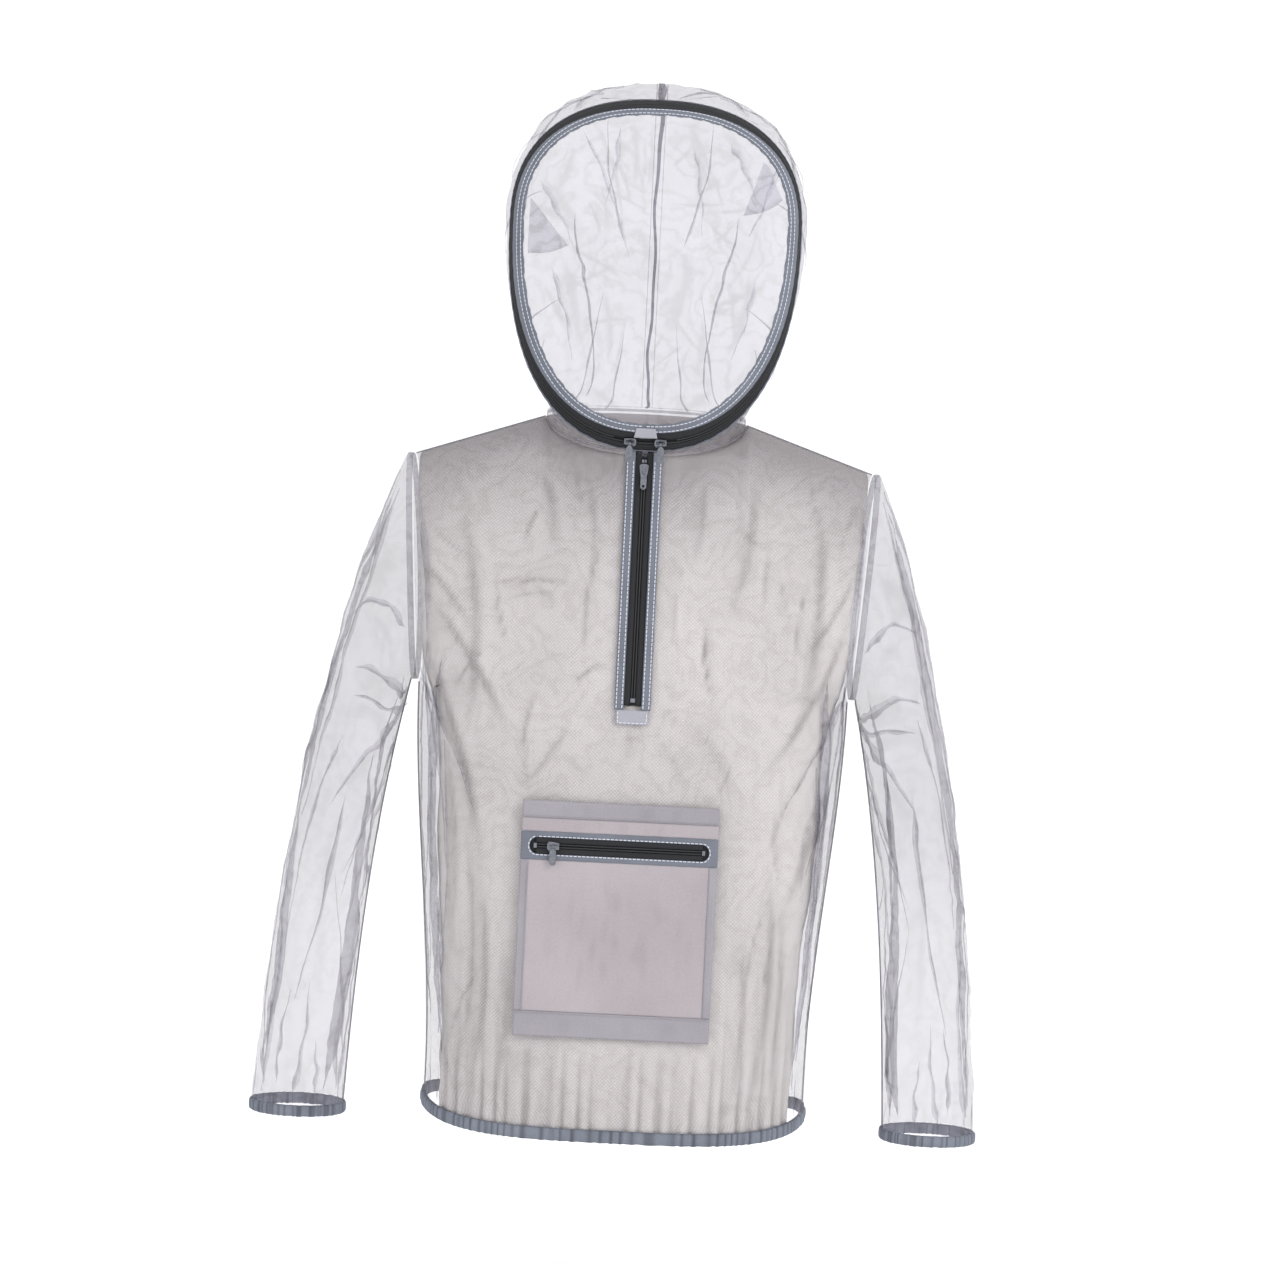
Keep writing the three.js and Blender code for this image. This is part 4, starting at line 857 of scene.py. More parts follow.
sleeveFoldRows = {  # angle, place along in mm, at both ends, then width
    "Left": [
        (524, 30, 420, 205, 13), (526, 44, 446, 300, 12), (530, 60, 470, 420, 11), (482, 6, 404, 150, 8),
        (532, 120, 496, 470, 9), (386, 6, 394, 430, 15), (397, 160, 399, 640, 9), (428, 210, 410, 470, 6),
        (508, 690, 502, 330, 10), (516, 640, 470, 420, 6), (402, 690, 397, 480, 8), (528, 20, 500, 130, 14),
        (440, 690, 448, 560, 6), (470, 692, 462, 600, 6), (200, 40, 300, 250, 9), (206, 80, 262, 420, 7),
        (336, 20, 332, 430, 14), (282, 300, 300, 600, 8), (222, 690, 214, 420, 9), (300, 690, 296, 590, 6),
        (330, 690, 326, 560, 7),
    ],
    "Right": [
        (526, 22, 428, 180, 13), (526, 50, 440, 330, 12), (530, 80, 476, 400, 11), (478, 10, 396, 170, 8),
        (532, 140, 490, 440, 9), (384, 10, 392, 470, 15), (395, 190, 398, 650, 9), (436, 250, 412, 520, 6),
        (510, 690, 504, 300, 10), (512, 620, 462, 380, 6), (400, 690, 395, 450, 8), (528, 16, 496, 150, 14),
        (446, 690, 452, 540, 6), (474, 692, 468, 610, 6), (200, 50, 296, 230, 9), (206, 70, 256, 400, 7),
        (334, 30, 330, 400, 14), (274, 320, 292, 590, 8), (224, 690, 212, 440, 9), (304, 690, 298, 580, 6),
        (328, 690, 322, 540, 7),
    ],
}


def sleeveFolds(hand, label):
    def place(angle, down):
        p, n, _ = sleeveCloth(angle, np.clip(down / sleeveLook["long"], 0.003, 0.997), armSeed[hand])
        return p * np.array([hand, 1, 1]), n * np.array([hand, 1, 1])
    return foldPiece("sleeveFolds" + label, place, sleeveFoldRows[label], lambda c: sleeveCore(c, hand))


def sleeveCore(c, hand):  # the middle of the sleeve at each height
    t = np.linspace(0, 1, 60)
    core = (sleevePoint(0 * t, t) + sleevePoint(0 * t + 180, t)) / 2
    order = np.argsort(core[:, 2])
    return vec(hand * np.interp(c[:, 2], core[order, 2], core[order, 0]), 0 * c[:, 0], c[:, 2])


def underarmSeam(hand, label):  # a narrow band of the sleeve's own surface along angle 180
    t = np.linspace(0, 1, 120)
    w = np.linspace(-1, 1, 7)
    wGrid, tGrid = np.meshgrid(w, t)
    radius = lerp(jacket["armholeDepth"], jacket["cuffDepth"], tGrid)
    p = sleevePoint(180 + wGrid * jacket["seamHalf"] / radius / deg, tGrid)
    p[..., 0] -= 0.4 * (1 - wGrid * wGrid)
    p[..., 0] *= hand
    piece = sheetMesh("sleeveSeam" + label, p, outFrom=(-hand, 0, 0))
    return thicken(piece, thickness["seam"])


def armholeBand(hand, label):  # the armhole's oval swept outwards, its middle raised by a half sine
    angle = np.linspace(0, 360, 181)[:-1]
    w = np.linspace(0, 1, 7)
    angleGrid, wGrid = np.meshgrid(angle, w)
    p = armholePoint(angleGrid, lerp(1.5, 7.5, wGrid))
    grow = 0.6 * np.sin(wGrid * math.pi) + 0.25 * np.sin(angleGrid * deg * 46)
    p[..., 1] += -np.sin(angleGrid * deg) * grow
    p[..., 2] += np.cos(angleGrid * deg) * grow
    p[..., 0] *= hand
    piece = sheetMesh("armholeSeam" + label, p, closed=True, outFrom=lambda c: vec(c[:, 0], 0 * c[:, 0], 0 * c[:, 0] + armMid))
    thicken(piece, thickness["seam"])
    return dress(piece, netting, "body", ["armhole_seam_" + label.lower()])


for hand, label in ((1, "Left"), (-1, "Right")):
    arm = "sleeve_" + label.lower()
    net = dress(sleeveNet(hand, label), netting, None, [arm])
    under = dress(underarmSeam(hand, label), seamNet, None, ["sleeve_seam_" + label.lower()])
    armholeBand(hand, label)
    laid = dress(sleeveFolds(hand, label), netting)
    cuffLoop = lambda w: cuffPoint(w * 360) * np.array([hand, 1, 1])
    dress(
        casingRing("cuffCasing" + label, cuffLoop, 11.6, 2.3, casingLook["cuffGathers"], 2.0 + hand, casingLook["cuffColumns"]),
        casing, arm, ["cuff_casing_" + label.lower()]
    )
    for piece in (net, under, laid):
        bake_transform(piece)
print("sleeves, hem and cuffs made")


# Hood, face ring and veil.

ringShape = {"half": 146, "height": 353, "widestZ": 225, "roundness": 2.35, "footY": -97, "lean": 50, "bulge": 58, "centreZ": 178}
inset = {"coil": 7.8, "innerCoil": 10.4, "innerTape": 13.0, "binding": 20.8, "veil": 30.2, "tapeWidth": 7.4, "coilMiddle": 1.1}


def ringY(z):
    return ringShape["footY"] + ringShape["lean"] * z / ringShape["height"]


def ringPoint(angle):  # a superellipse, taller below its widest line than above
    power = 2 / ringShape["roundness"]
    c, s = np.cos(angle * deg), np.sin(angle * deg)
    reach = np.where(s > 0, ringShape["height"] - ringShape["widestZ"], ringShape["widestZ"])
    z = ringShape["widestZ"] + reach * np.sign(s) * np.abs(s) ** power
    return vec(ringShape["half"] * np.sign(c) * np.abs(c) ** power, ringY(z), z)


def domePoint(angle, inward):  # the ring drawn in to its middle by a cosine while it swells forwards by a sine
    rim = ringPoint(angle)
    s = np.sin(angle * deg)
    power = 1 + 0.7 * np.maximum(0, -s) ** 2 + 0.24 * np.maximum(0, s) ** 2
    z = lerp(ringShape["centreZ"], rim[..., 2], np.cos(inward * deg))
    y = ringY(z) - ringShape["bulge"] * np.sin(np.clip(inward, 0, 90) * deg) ** power
    return vec(rim[..., 0] * np.cos(inward * deg), y, z)


def domeInset(angle, distance):  # the dome's point that far along the cloth from the ring
    angle, distance = np.broadcast_arrays(np.asarray(angle, float), np.asarray(distance, float))
    inward = np.linspace(0, 40, 321)
    flat = angle.ravel()
    path = domePoint(flat[:, None], inward[None, :])
    far = np.concatenate([np.zeros((len(flat), 1)), np.cumsum(np.linalg.norm(np.diff(path, axis=1), axis=-1), 1)], 1)
    want = distance.ravel()[:, None]
    k = np.clip((far < want).sum(1), 1, len(inward) - 1)
    row = np.arange(len(flat))
    share = (want[:, 0] - far[row, k - 1]) / (far[row, k] - far[row, k - 1])
    p = path[row, k - 1] + (path[row, k] - path[row, k - 1]) * share[:, None]
    return p.reshape(angle.shape + (3,))


def faceForwards(n):  # turned, where it must be, to look out of the front
    return n * np.where(n[..., 1:2] > 0, -1.0, 1.0)


def domeNormal(angle, distance):
    return faceForwards(normalOf(domeInset, angle, np.maximum(distance, 0.6), 0.3, 0.5))


ringAngles = np.linspace(-90, 270, 421)


def ringStrip(name, start, width, lift, thick, count=5, wave=0.0, seed=0.0, gapEnds=0.0, sideStart=0.0, sideWidth=0.0):
    # A band along the ring from start to start + width; at the two sides its start and end shift by the side values.
    angle = ringAngles[:-1] if not gapEnds else np.linspace(-90 + gapEnds, 270 - gapEnds, 421)
    angleGrid, wGrid = np.meshgrid(angle, np.linspace(0, 1, count))
    sides = np.cos(angleGrid * deg) ** 2
    farGrid = start + sideStart * sides + (width - sideStart * sides + sideWidth * sides) * wGrid
    wobble = wave * (np.sin(angleGrid * 0.9 + seed) + 0.6 * np.sin(angleGrid * 2.3 + 2 * seed)) * wGrid
    p = domeInset(angleGrid, farGrid + wobble)
    n = domeNormal(angleGrid, farGrid)
    p = p + n * (lift + 0.3 * wave * np.sin(angleGrid * 1.7 + seed))[..., None] if wave else p + n * lift
    return thicken(sheetMesh(name, p, closed=not gapEnds, outFrom=(0, -1, 0)), thick)


zipLook = {"coilPitch": 1.9, "facePitch": 2.0, "coilWide": 1.1, "coilThick": 1.15, "thin": 0.86, "swing": 0.2, "step": 0.45}


def coilSwell(along, pitch):  # the coil's section thins and fattens once for every turn of the filament
    return zipLook["thin"] + zipLook["swing"] * np.cos(along * 2 * math.pi / pitch)


def coilTube(mid, across, n, k, swell):  # an oval of half sizes coilWide and coilThick carried along the middle line
    wide, thick = zipLook["coilWide"] * np.cos(k)[:, None] * swell, zipLook["coilThick"] * np.sin(k)[:, None] * swell
    return mid[None] + across[None] * wide[..., None] + n[None] * thick[..., None]


def ringCoil(name, centre, gapEnds=0.0):
    # Interlocked coil: an oval rail whose section swells and narrows at every turn of the filament.
    angle = np.linspace(-90 + gapEnds, 270 - gapEnds, 2101)
    angle = angle if gapEnds else angle[:-1]
    k = np.linspace(0, 2 * math.pi, 9)[:-1]
    mid, n = domeInset(angle, centre), domeNormal(angle, np.full(angle.shape, centre))
    step = np.concatenate([[0], np.cumsum(np.linalg.norm(np.diff(mid, axis=0), axis=1))])
    along = unit(np.gradient(mid, axis=0))
    across = unit(np.cross(along, n))
    swell = coilSwell(step, zipLook["facePitch"])
    p = coilTube(mid, across, n, k, swell)
    ring = np.concatenate([p, p[:1]], 0)
    return sheetMesh(
        name, ring, closed=not gapEnds, merge=True,
        outFrom=lambda c: mid[np.argmin(((c[:, None] - mid[None, ::10]) ** 2).sum(-1), 1) * 10]
    )


hoodShape = {
    "backY": 172, "backZ": 215, "crownY": 30, "crownZ": 379, "crownEnd": 121.7, "footLift": 6.7,
    "footHalf": 20, "topHalf": 14, "behindRing": 1.4, "footShare": 0.05,
}


def hoodCrown(t):  # the centre seam: an oval up the back of the head, then over the top to the ring
    angle = lerp(-90, hoodShape["crownEnd"], t)
    c, s = np.cos(angle * deg), np.sin(angle * deg)
    backY, backZ, crownY, crownZ = (hoodShape[key] for key in ("backY", "backZ", "crownY", "crownZ"))
    low = vec(
        0 * t, lerp(jacket["neckBack"], backY, np.abs(c) ** 1.6), lerp(backZ, jacket["neckBackZ"] + hoodShape["footLift"], -s)
    )
    high = vec(0 * t, crownY + (backY - crownY) * c, lerp(backZ, crownZ, s))
    return np.where((angle < 0)[..., None], low, high)


def hoodEdge(t):  # from the neckline up a short straight, then round the ring's back
    besideZip = np.full(np.shape(t), -math.acos(hoodShape["footHalf"] / jacket["neckHalf"]) / deg)
    foot = neckPoint(besideZip) + np.array([0, 0, hoodShape["footLift"]])
    power = ringShape["roundness"] / 2
    start = -math.acos((hoodShape["footHalf"] / ringShape["half"]) ** power) / deg
    end = math.acos((hoodShape["topHalf"] / ringShape["half"]) ** power) / deg
    behind, share = np.array([0, hoodShape["behindRing"], 0]), hoodShape["footShare"]
    low = lerp(foot, ringPoint(np.full(np.shape(t), start)) + behind, (t / share)[..., None])
    high = ringPoint(lerp(start, end, np.clip((t - share) / (1 - share), 0, 1))) + behind
    return np.where((t < share)[..., None], low, high)


def hoodPoint(turn, t):  # each row runs level round the head from the ring to the centre seam on two quarter ovals
    first, last = hoodEdge(t), hoodCrown(t)
    neckShare = jacket["neckHalf"] * (1 - smooth(t, 0, 0.6))
    half = ((first[..., 0] * 1.03) ** 4 + neckShare**4) ** 0.25
    start = -np.arccos(np.clip(first[..., 0] / half, 0, 1)) / deg
    end = np.arccos(jacket["seamEdge"] / half) / deg
    angle = lerp(start, end, turn)
    s = np.sin(angle * deg)
    reach = jacket["neckFront"] / jacket["neckHalf"] * half
    middleY = first[..., 1] - reach * np.sin(start * deg)
    y = middleY + np.where(s < 0, reach, last[..., 1] - middleY) * s
    shareUp = np.sin((angle - start) / (90 - start) * 90 * deg)
    level = lerp(first[..., 2], last[..., 2], shareUp)
    neckZ = neckPoint(angle)[..., 2] + hoodShape["footLift"]
    return vec(half * np.cos(angle * deg), y, lerp(neckZ, level, smooth(t, 0, 0.25)))


hoodLook = {"rows": 130, "columns": 90, "crumple": 1.3, "across": 300, "up": 400, "middle": (0.0, 10.0, 180.0)}


def headMiddle(c):  # the middle of the head, for every face
    return np.broadcast_to(hoodLook["middle"], c.shape)


def hoodNormal(turn, t, base):  # the surface's normal, turned away from the middle of the head
    n = normalOf(hoodPoint, np.clip(turn, 0.004, 0.996), np.clip(t, 0.004, 0.996), 2e-3, 2e-3)
    return n * np.sign(((base - np.array(hoodLook["middle"])) * n).sum(-1, keepdims=True))


def hoodRipple(turn, t, seed, low, high):
    return ripple(turn * hoodLook["across"], t * hoodLook["up"], seed, low, high)


hoodLines = [  # turn x 300, height share x 400, width, height
    (0, 60, 120, 110, 10, 3.0), (0, 120, 150, 150, 10, -2.8), (10, 200, 140, 230, 11, 3.0), (0, 280, 110, 300, 10, 2.6),
    (40, 340, 180, 360, 10, 2.6), (150, 40, 220, 200, 12, 3.0), (200, 60, 260, 260, 12, -2.6), (240, 120, 280, 330, 10, 2.4),
    (120, 170, 260, 180, 9, 2.4), (90, 260, 250, 290, 10, 2.4),
]


def hoodPanel(hand, label):
    t = np.linspace(0, 1, hoodLook["rows"]) ** 1.05
    seed = 5 + hand
    pleats = [
        (0.30 + 0.08 * np.sin(4 * t + hand), 0.055 * smooth(t, 0.45, 0.6) * (1 - smooth(t, 0.72, 0.86)) + 1e-4, 2.2),
        (0.66 + 0.05 * np.sin(6 * t), 0.02 * smooth(t, 0.08, 0.2) * (1 - smooth(t, 0.4, 0.6)) + 1e-4, 2.2),
    ]
    turn, lift = pleated(0.0, 1.0, hoodLook["columns"], pleats)
    turn = np.clip(turn, 0, 1)
    tGrid = np.broadcast_to(t[:, None], turn.shape)
    base = hoodPoint(turn, tGrid)
    n = hoodNormal(turn, tGrid, base)
    folds, mark = creaseLines(
        turn * hoodLook["across"], tGrid * hoodLook["up"],
        hoodLines + fineCreases(90 + hand, 26, (20, 270), (20, 370), 1.4, (40, 110))
    )
    folds = folds + hoodLook["crumple"] * hoodRipple(turn, tGrid, seed, 30, 110) + 0.4 * hoodRipple(turn, tGrid, seed + 3, 12, 28)
    calm = smooth(turn, 0, 0.07) * (1 - smooth(turn, 0.94, 1)) * smooth(tGrid, 0, 0.06) * (1 - smooth(tGrid, 0.96, 1))
    p = base + n * ((folds + lift) * calm)[..., None]
    p[..., 0] *= hand
    # painted shade: the crease marks darken the folds
    return sheetMesh("hoodPanel" + label, p, marks=mark * calm * 0.6, outFrom=headMiddle)


for hand, label in ((1, "Left"), (-1, "Right")):
    dress(hoodPanel(hand, label), netting, "body", ["hood_panel_" + label.lower()])

hoodFoldRows = [
    (0.04, 0.16, 0.42, 0.3, 6), (0.05, 0.48, 0.5, 0.54, 6), (0.05, 0.84, 0.6, 0.92, 7), (0.6, 0.04, 0.8, 0.36, 6),
    (0.9, 0.44, 0.78, 0.7, 4), (0.1, 0.7, 0.7, 0.78, 6), (0.86, 0.05, 0.9, 0.3, 4), (0.3, 0.05, 0.4, 0.25, 6),
    (0.05, 0.3, 0.6, 0.36, 5), (0.05, 0.6, 0.4, 0.68, 5),
]


def hoodPlace(hand):
    def place(turn, t):
        turn, t = np.clip(turn, 0.02, 0.98), np.clip(t, 0.02, 0.98)
        p = hoodPoint(turn, t)
        n = hoodNormal(turn, t, p)
        p = p + n * (hoodLook["crumple"] * hoodRipple(turn, t, 5 + hand, 30, 110) + 0.8)[..., None]
        return p * np.array([hand, 1, 1]), n * np.array([hand, 1, 1])
    return place


for hand, label in ((1, "Left"), (-1, "Right")):
    dress(foldPiece("hoodFolds" + label, hoodPlace(hand), hoodFoldRows, headMiddle), netting, "body")

t = np.linspace(0, 1, 160)
wGrid, tGrid = np.meshgrid(np.linspace(-1, 1, 7), t)
sway = 1.5 * np.sin(tGrid * 21) + 0.8 * np.sin(tGrid * 47)
across = wGrid * lerp(1.5, 3.0, smooth(tGrid, 0.45, 0.9)) + sway * smooth(tGrid, 0, 0.05) * (1 - smooth(tGrid, 0.95, 1))
seamPoints = hoodCrown(tGrid) + vec(across, 0 * wGrid, 0 * wGrid)
wide = hoodCrown(tGrid) + vec(wGrid * 6.0, 0 * wGrid, 0 * wGrid)
dress(sheetMesh("hoodSeamAllowance", wide, outFrom=headMiddle), netting, "body")
dress(
    thicken(sheetMesh("hoodCentreSeam", seamPoints, outFrom=headMiddle), thickness["seam"]), seamNet, "body",
    ["hood_centre_seam"]
)

dress(
    ringStrip("faceZipOuterTape", 0, inset["tapeWidth"], 0, thickness["tape"]), zipTape, "body",
    ["face_zip_outer_tape"]
)
dress(ringCoil("faceZipOuterCoil", inset["coil"] + inset["coilMiddle"]), coilNylon, "body", ["face_zip_outer_coil"])
dress(
    ringStrip("faceZipInnerTape", inset["innerTape"], inset["tapeWidth"], 0, thickness["tape"], gapEnds=1.5), zipTape,
    "veil", ["face_zip_inner_tape"]
)
dress(
    ringCoil("faceZipInnerCoil", inset["innerCoil"] + inset["coilMiddle"], gapEnds=10), coilNylon, "veil",
    ["face_zip_inner_coil"]
)
dress(
    ringStrip("veilBinding", inset["binding"], 9.2, 0.75, 0.8, count=9, wave=0.55, seed=1.3, sideStart=-6.0, sideWidth=1.0),
    binding, "veil", ["veil_binding"]
)
dress(ringStrip("hoodEdgeBinding", -0.8, 1.6, 0.95, 0.7, count=7, wave=0.4, seed=2.1, sideWidth=5.0), binding, "body")
dress(ringStrip("faceZipUnderlap", 5.0, 8.0, -1.9, thickness["backing"]), zipTape, "body")
print("hood and face zip made")

veilLook = {"spokes": 300, "rings": 96, "crumple": 1.6}
veilLines = [  # x, z of both ends on the face, width, height
    (-72, 340, -30, 205, 3.2, 2.6), (-118, 262, -74, 214, 9, 3.6), (-128, 240, -70, 208, 6, -3.0), (112, 300, 92, 236, 9, 3.4),
    (132, 262, 84, 240, 6, -3.0), (-30, 335, -24, 250, 7, 2.0), (28, 336, 40, 230, 8, 2.4), (60, 330, 96, 250, 8, 2.2),
    (-92, 190, -70, 90, 9, 2.4), (-110, 160, -84, 110, 7, -2.0), (96, 180, 78, 96, 9, 2.4), (112, 170, 70, 150, 7, 2.0),
    (-60, 60, -20, 32, 8, 2.0), (66, 66, 24, 34, 8, 2.0), (-20, 220, 6, 150, 10, 2.0), (34, 200, 20, 120, 10, 1.8),
    (-50, 160, -40, 80, 9, 1.6), (52, 130, 44, 70, 9, 1.6), (-84, 300, -104, 240, 7, 2.4), (96, 320, 118, 276, 6, 2.4),
]


rngVeil = np.random.default_rng(8)
for _ in range(44):  # fine wrinkles running in from the binding
    turn, out, far = rngVeil.uniform(0, 2 * math.pi), rngVeil.uniform(0.72, 0.98), rngVeil.uniform(22, 70)
    x, z = 112 * out * math.cos(turn), 190 + 138 * out * math.sin(turn)
    way = math.atan2(190 - z, -x) + rngVeil.uniform(-0.9, 0.9)
    wide, high = rngVeil.uniform(2.2, 4.0), rngVeil.uniform(1.2, 2.8) * rngVeil.choice([-1, 1])
    veilLines.append((x, z, x + far * math.cos(way), z + far * math.sin(way), wide, high))


def veilCloth():  # the dome's cloth inside its binding, from the rim in to a closed middle
    angle = np.linspace(-90, 270, veilLook["spokes"] + 1)[:-1]
    edge = domeInset(angle, inset["veil"] - 0.8)
    rim = ringPoint(angle)
    reach = np.hypot(edge[:, 0], edge[:, 2] - ringShape["centreZ"]) / np.hypot(rim[:, 0], rim[:, 2] - ringShape["centreZ"])
    start = np.arccos(np.clip(reach, 0, 1)) / deg
    q = np.linspace(0, 1, veilLook["rings"]) ** 0.9
    inward = start[None, :] + (90 - start[None, :]) * q[:, None]
    angleGrid = np.broadcast_to(angle[None, :], inward.shape)
    base = domePoint(angleGrid, inward)
    n = faceForwards(normalOf(domePoint, angleGrid, np.clip(inward, 1, 89), 0.3, 0.3))
    x, z = base[..., 0], base[..., 2]
    folds, mark = creaseLines(x, z, veilLines)
    folds = folds + veilLook["crumple"] * ripple(x, z, 61, 30, 100) + 0.5 * ripple(x, z, 62, 9, 24)
    pucker = np.sin(angle * 1.9)[None, :] * np.exp(-q[:, None] * 14) * 1.0
    calm = smooth(q, 0.0, 0.10)[:, None]
    p = base + n * ((folds * calm + pucker * smooth(q, 0, 0.02)[:, None]))[..., None]
    p[-1] = p[-1].mean(0)
    # painted shade: the crease marks darken the folds
    return sheetMesh("veilNet", p, closed=True, marks=np.clip(mark * calm, 0, 1), outFrom=(0, -1, 0), merge=True)


veil = dress(veilCloth(), veilNet, "veil", ["veil"])
rimTurn = np.linspace(-90, 270, 1441)
rimLine = ringPoint(rimTurn)
rimWay = np.unwrap(np.arctan2(rimLine[:, 2] - ringShape["centreZ"], rimLine[:, 0]))
rimFar = np.hypot(rimLine[:, 0], rimLine[:, 2] - ringShape["centreZ"])


def veilPlace(x, z):  # the veil's point in front of a place on the face, found by its direction and distance from the middle
    way = np.arctan2(z - ringShape["centreZ"], x)
    way = rimWay[0] + (way - rimWay[0]) % (2 * math.pi)
    angle = np.interp(way, rimWay, rimTurn)
    reach = np.interp(way, rimWay, rimFar)
    inward = np.degrees(np.arccos(np.clip(np.hypot(x, z - ringShape["centreZ"]) / reach, 0, 0.999)))
    base = domePoint(angle, inward)
    n = faceForwards(normalOf(domePoint, angle, np.clip(inward, 1, 89), 0.3, 0.3))
    folds, _ = creaseLines(base[..., 0], base[..., 2], veilLines)
    folds = folds + veilLook["crumple"] * ripple(base[..., 0], base[..., 2], 61, 30, 100)
    return base + n * folds[..., None], n


def tuckedCorner(name, corners, lift):  # a three-sided doubling of the net, spanned from its first corner
    (ax, az), (bx, bz), (cx, cz) = corners
    q, w = np.meshgrid(np.linspace(0.02, 1, 26), np.linspace(0, 1, 18), indexing="ij")
    bow = 3.0 * np.sin(math.pi * w) * q
    p, n = veilPlace(ax + q * ((1 - w) * (bx - ax) + w * (cx - ax)) + bow, az + q * ((1 - w) * (bz - az) + w * (cz - az)) - bow)
    # painted shade along the tuck's folded edge
    marks = 0.35 * np.exp(-(((q - 1) / 0.06) ** 2))
    return sheetMesh(name, p + n * lift, marks=marks, outFrom=(0, -1, 0))


veilFoldRows = [
    (-78, 318, -24, 186, 5), (-116, 262, -80, 196, 8), (118, 288, 92, 214, 8), (-100, 176, -76, 84, 6), (100, 170, 80, 92, 6),
    (34, 300, 46, 210, 5), (-40, 322, -52, 240, 5), (70, 306, 98, 250, 7)
]
corners = [[(-126, 246), (-86, 198), (-126, 190)], [(104, 292), (126, 256), (86, 236)]]
tucks = [
    tuckedCorner("veilTuck%d_%d" % (k, layer), trio, 1.0 + 0.6 * layer) for k, trio in enumerate(corners) for layer in range(2)
]
veilFolds = foldPiece("veilFoldStrips", veilPlace, veilFoldRows, (0, -1, 0))
dress(joinPieces("veilFolds", [veilFolds] + tucks), veilNet, "veil")

# The tab over the zip's meeting point at the foot of the veil.
tabLook = {"half": 13, "past": 5.4, "narrow": 0.8, "narrowFrom": 9, "narrowOver": 13, "lift": 1.9}
tabEnds = (inset["innerCoil"] + tabLook["past"], inset["binding"] + tabLook["past"])
tabAcross, tabAlong = np.meshgrid(np.linspace(-tabLook["half"], tabLook["half"], 15), np.linspace(*tabEnds, 12))
tabPoints = domeInset(np.full(tabAlong.shape, -90.0), tabAlong)
tabPoints[..., 0] = tabAcross * lerp(1, tabLook["narrow"], (tabAlong - tabLook["narrowFrom"]) / tabLook["narrowOver"])
tabPoints[..., 1:] += domeNormal(np.full(tabAlong.shape, -90.0), tabAlong)[..., 1:] * tabLook["lift"]
dress(
    thicken(sheetMesh("faceZipTab", tabPoints, outFrom=(0, -1, 0)), thickness["tab"]), tabCloth, "veil",
    ["face_zip_tab"]
)

bindAngles = np.linspace(-90, 270, 900)
for k, far in enumerate((inset["binding"] + 1.6, inset["binding"] + 7.2)):
    path, n = domeInset(bindAngles, far), domeNormal(bindAngles, np.full(bindAngles.shape, far))
    dress(stitchRun("veilBindingStitches%d" % k, path + n * 1.5, n), thread, "veil")
far = 3.4
path, n = domeInset(bindAngles, far), domeNormal(bindAngles, np.full(bindAngles.shape, far))
dress(stitchRun("faceTapeStitches", path + n * 0.5, n, pitch=4.2, wide=0.7), coilNylon, "body")
print("veil made")


# Front zip.

def frontStrip(name, x0, x1, z0, z1, lift, thick, across=5, rows=60, pucker=0.0):
    # A band of the front surface between two widths and two heights, lifted off it, with an optional sine pucker.
    xGrid, zGrid = np.meshgrid(np.linspace(x0, x1, across), np.linspace(z0, z1, rows))
    rise = lift + pucker * np.sin(zGrid / 2.6 + xGrid) * np.abs(xGrid - x0) / abs(x1 - x0)
    return thicken(sheetMesh(name, onFront(xGrid, zGrid, rise), outFrom=(0, -1, 0)), thick)


def frontCoil(name, x, z0, z1):  # an oval rail down the front surface with the coil's swell
    z = np.arange(z0, z1, zipLook["step"])
    mid = onFront(np.full(z.shape, x), z)
    n = bodyNormal(-1, np.full(z.shape, x / jacket["shoulderHalf"]), z)
    k = np.linspace(0, 2 * math.pi, 9)
    across = unit(np.cross(unit(np.gradient(mid, axis=0)), n))
    swell = coilSwell(z, zipLook["coilPitch"])
    p = coilTube(mid, across, n, k, swell)
    return sheetMesh(name, p, merge=True, outFrom=lambda c: onFront(np.full(len(c), x), c[:, 2]))


frontZip = {
    "backHalf": 10.2, "tapeFrom": 2.8, "tapeTo": 10, "top": -1.2, "coilOff": 1.3, "bindOver": 1.5, "bindWide": 9, "lift": 1.75,
    "stitches": (1.6, 7.4), "stitchLift": 2.55, "tabDrop": 4.4, "tabHalf": 16, "tabLong": 14, "tabStitches": (14.4, 12.4),
}
dress(
    frontStrip(
        "frontZipBacking", -frontZip["backHalf"], frontZip["backHalf"], jacket["zipEnd"] + 0.5, -1.4, -1.7, thickness["backing"],
        across=9
    ),
    zipTape, "body"
)
for hand, label in ((1, "Left"), (-1, "Right")):
    small = label.lower()
    dress(
        frontStrip(
            "frontZipTape" + label, hand * frontZip["tapeFrom"], hand * frontZip["tapeTo"], jacket["zipEnd"], frontZip["top"], 0,
            thickness["tape"]
        ),
        zipTape, "body", ["front_zip_tape_" + small]
    )
    dress(
        frontCoil("frontZipCoil" + label, hand * frontZip["coilOff"], jacket["zipEnd"] + 8, jacket["zipTop"] - 4), coilNylon,
        "body", ["front_zip_coil_" + small]
    )
    edge = jacket["slotHalf"] - frontZip["bindOver"]
    dress(
        frontStrip(
            "frontZipBinding" + label, hand * edge, hand * (edge + frontZip["bindWide"]), jacket["zipEnd"] - 4, frontZip["top"],
            frontZip["lift"], thickness["binding"], across=7, rows=140, pucker=0.25
        ),
        binding, "body", ["front_zip_binding_" + small]
    )
    z = np.linspace(jacket["zipEnd"] - 3, jacket["zipTop"] - 1, 120)
    for k, off in enumerate(frontZip["stitches"]):
        x = np.full(z.shape, hand * (edge + off))
        dress(
            stitchRun(
                "frontZipStitches%s%d" % (label, k), onFront(x, z, frontZip["stitchLift"]),
                bodyNormal(-1, x / jacket["shoulderHalf"], z)
            ),
            thread, "body"
        )
tabTop = jacket["zipEnd"] - frontZip["tabDrop"]
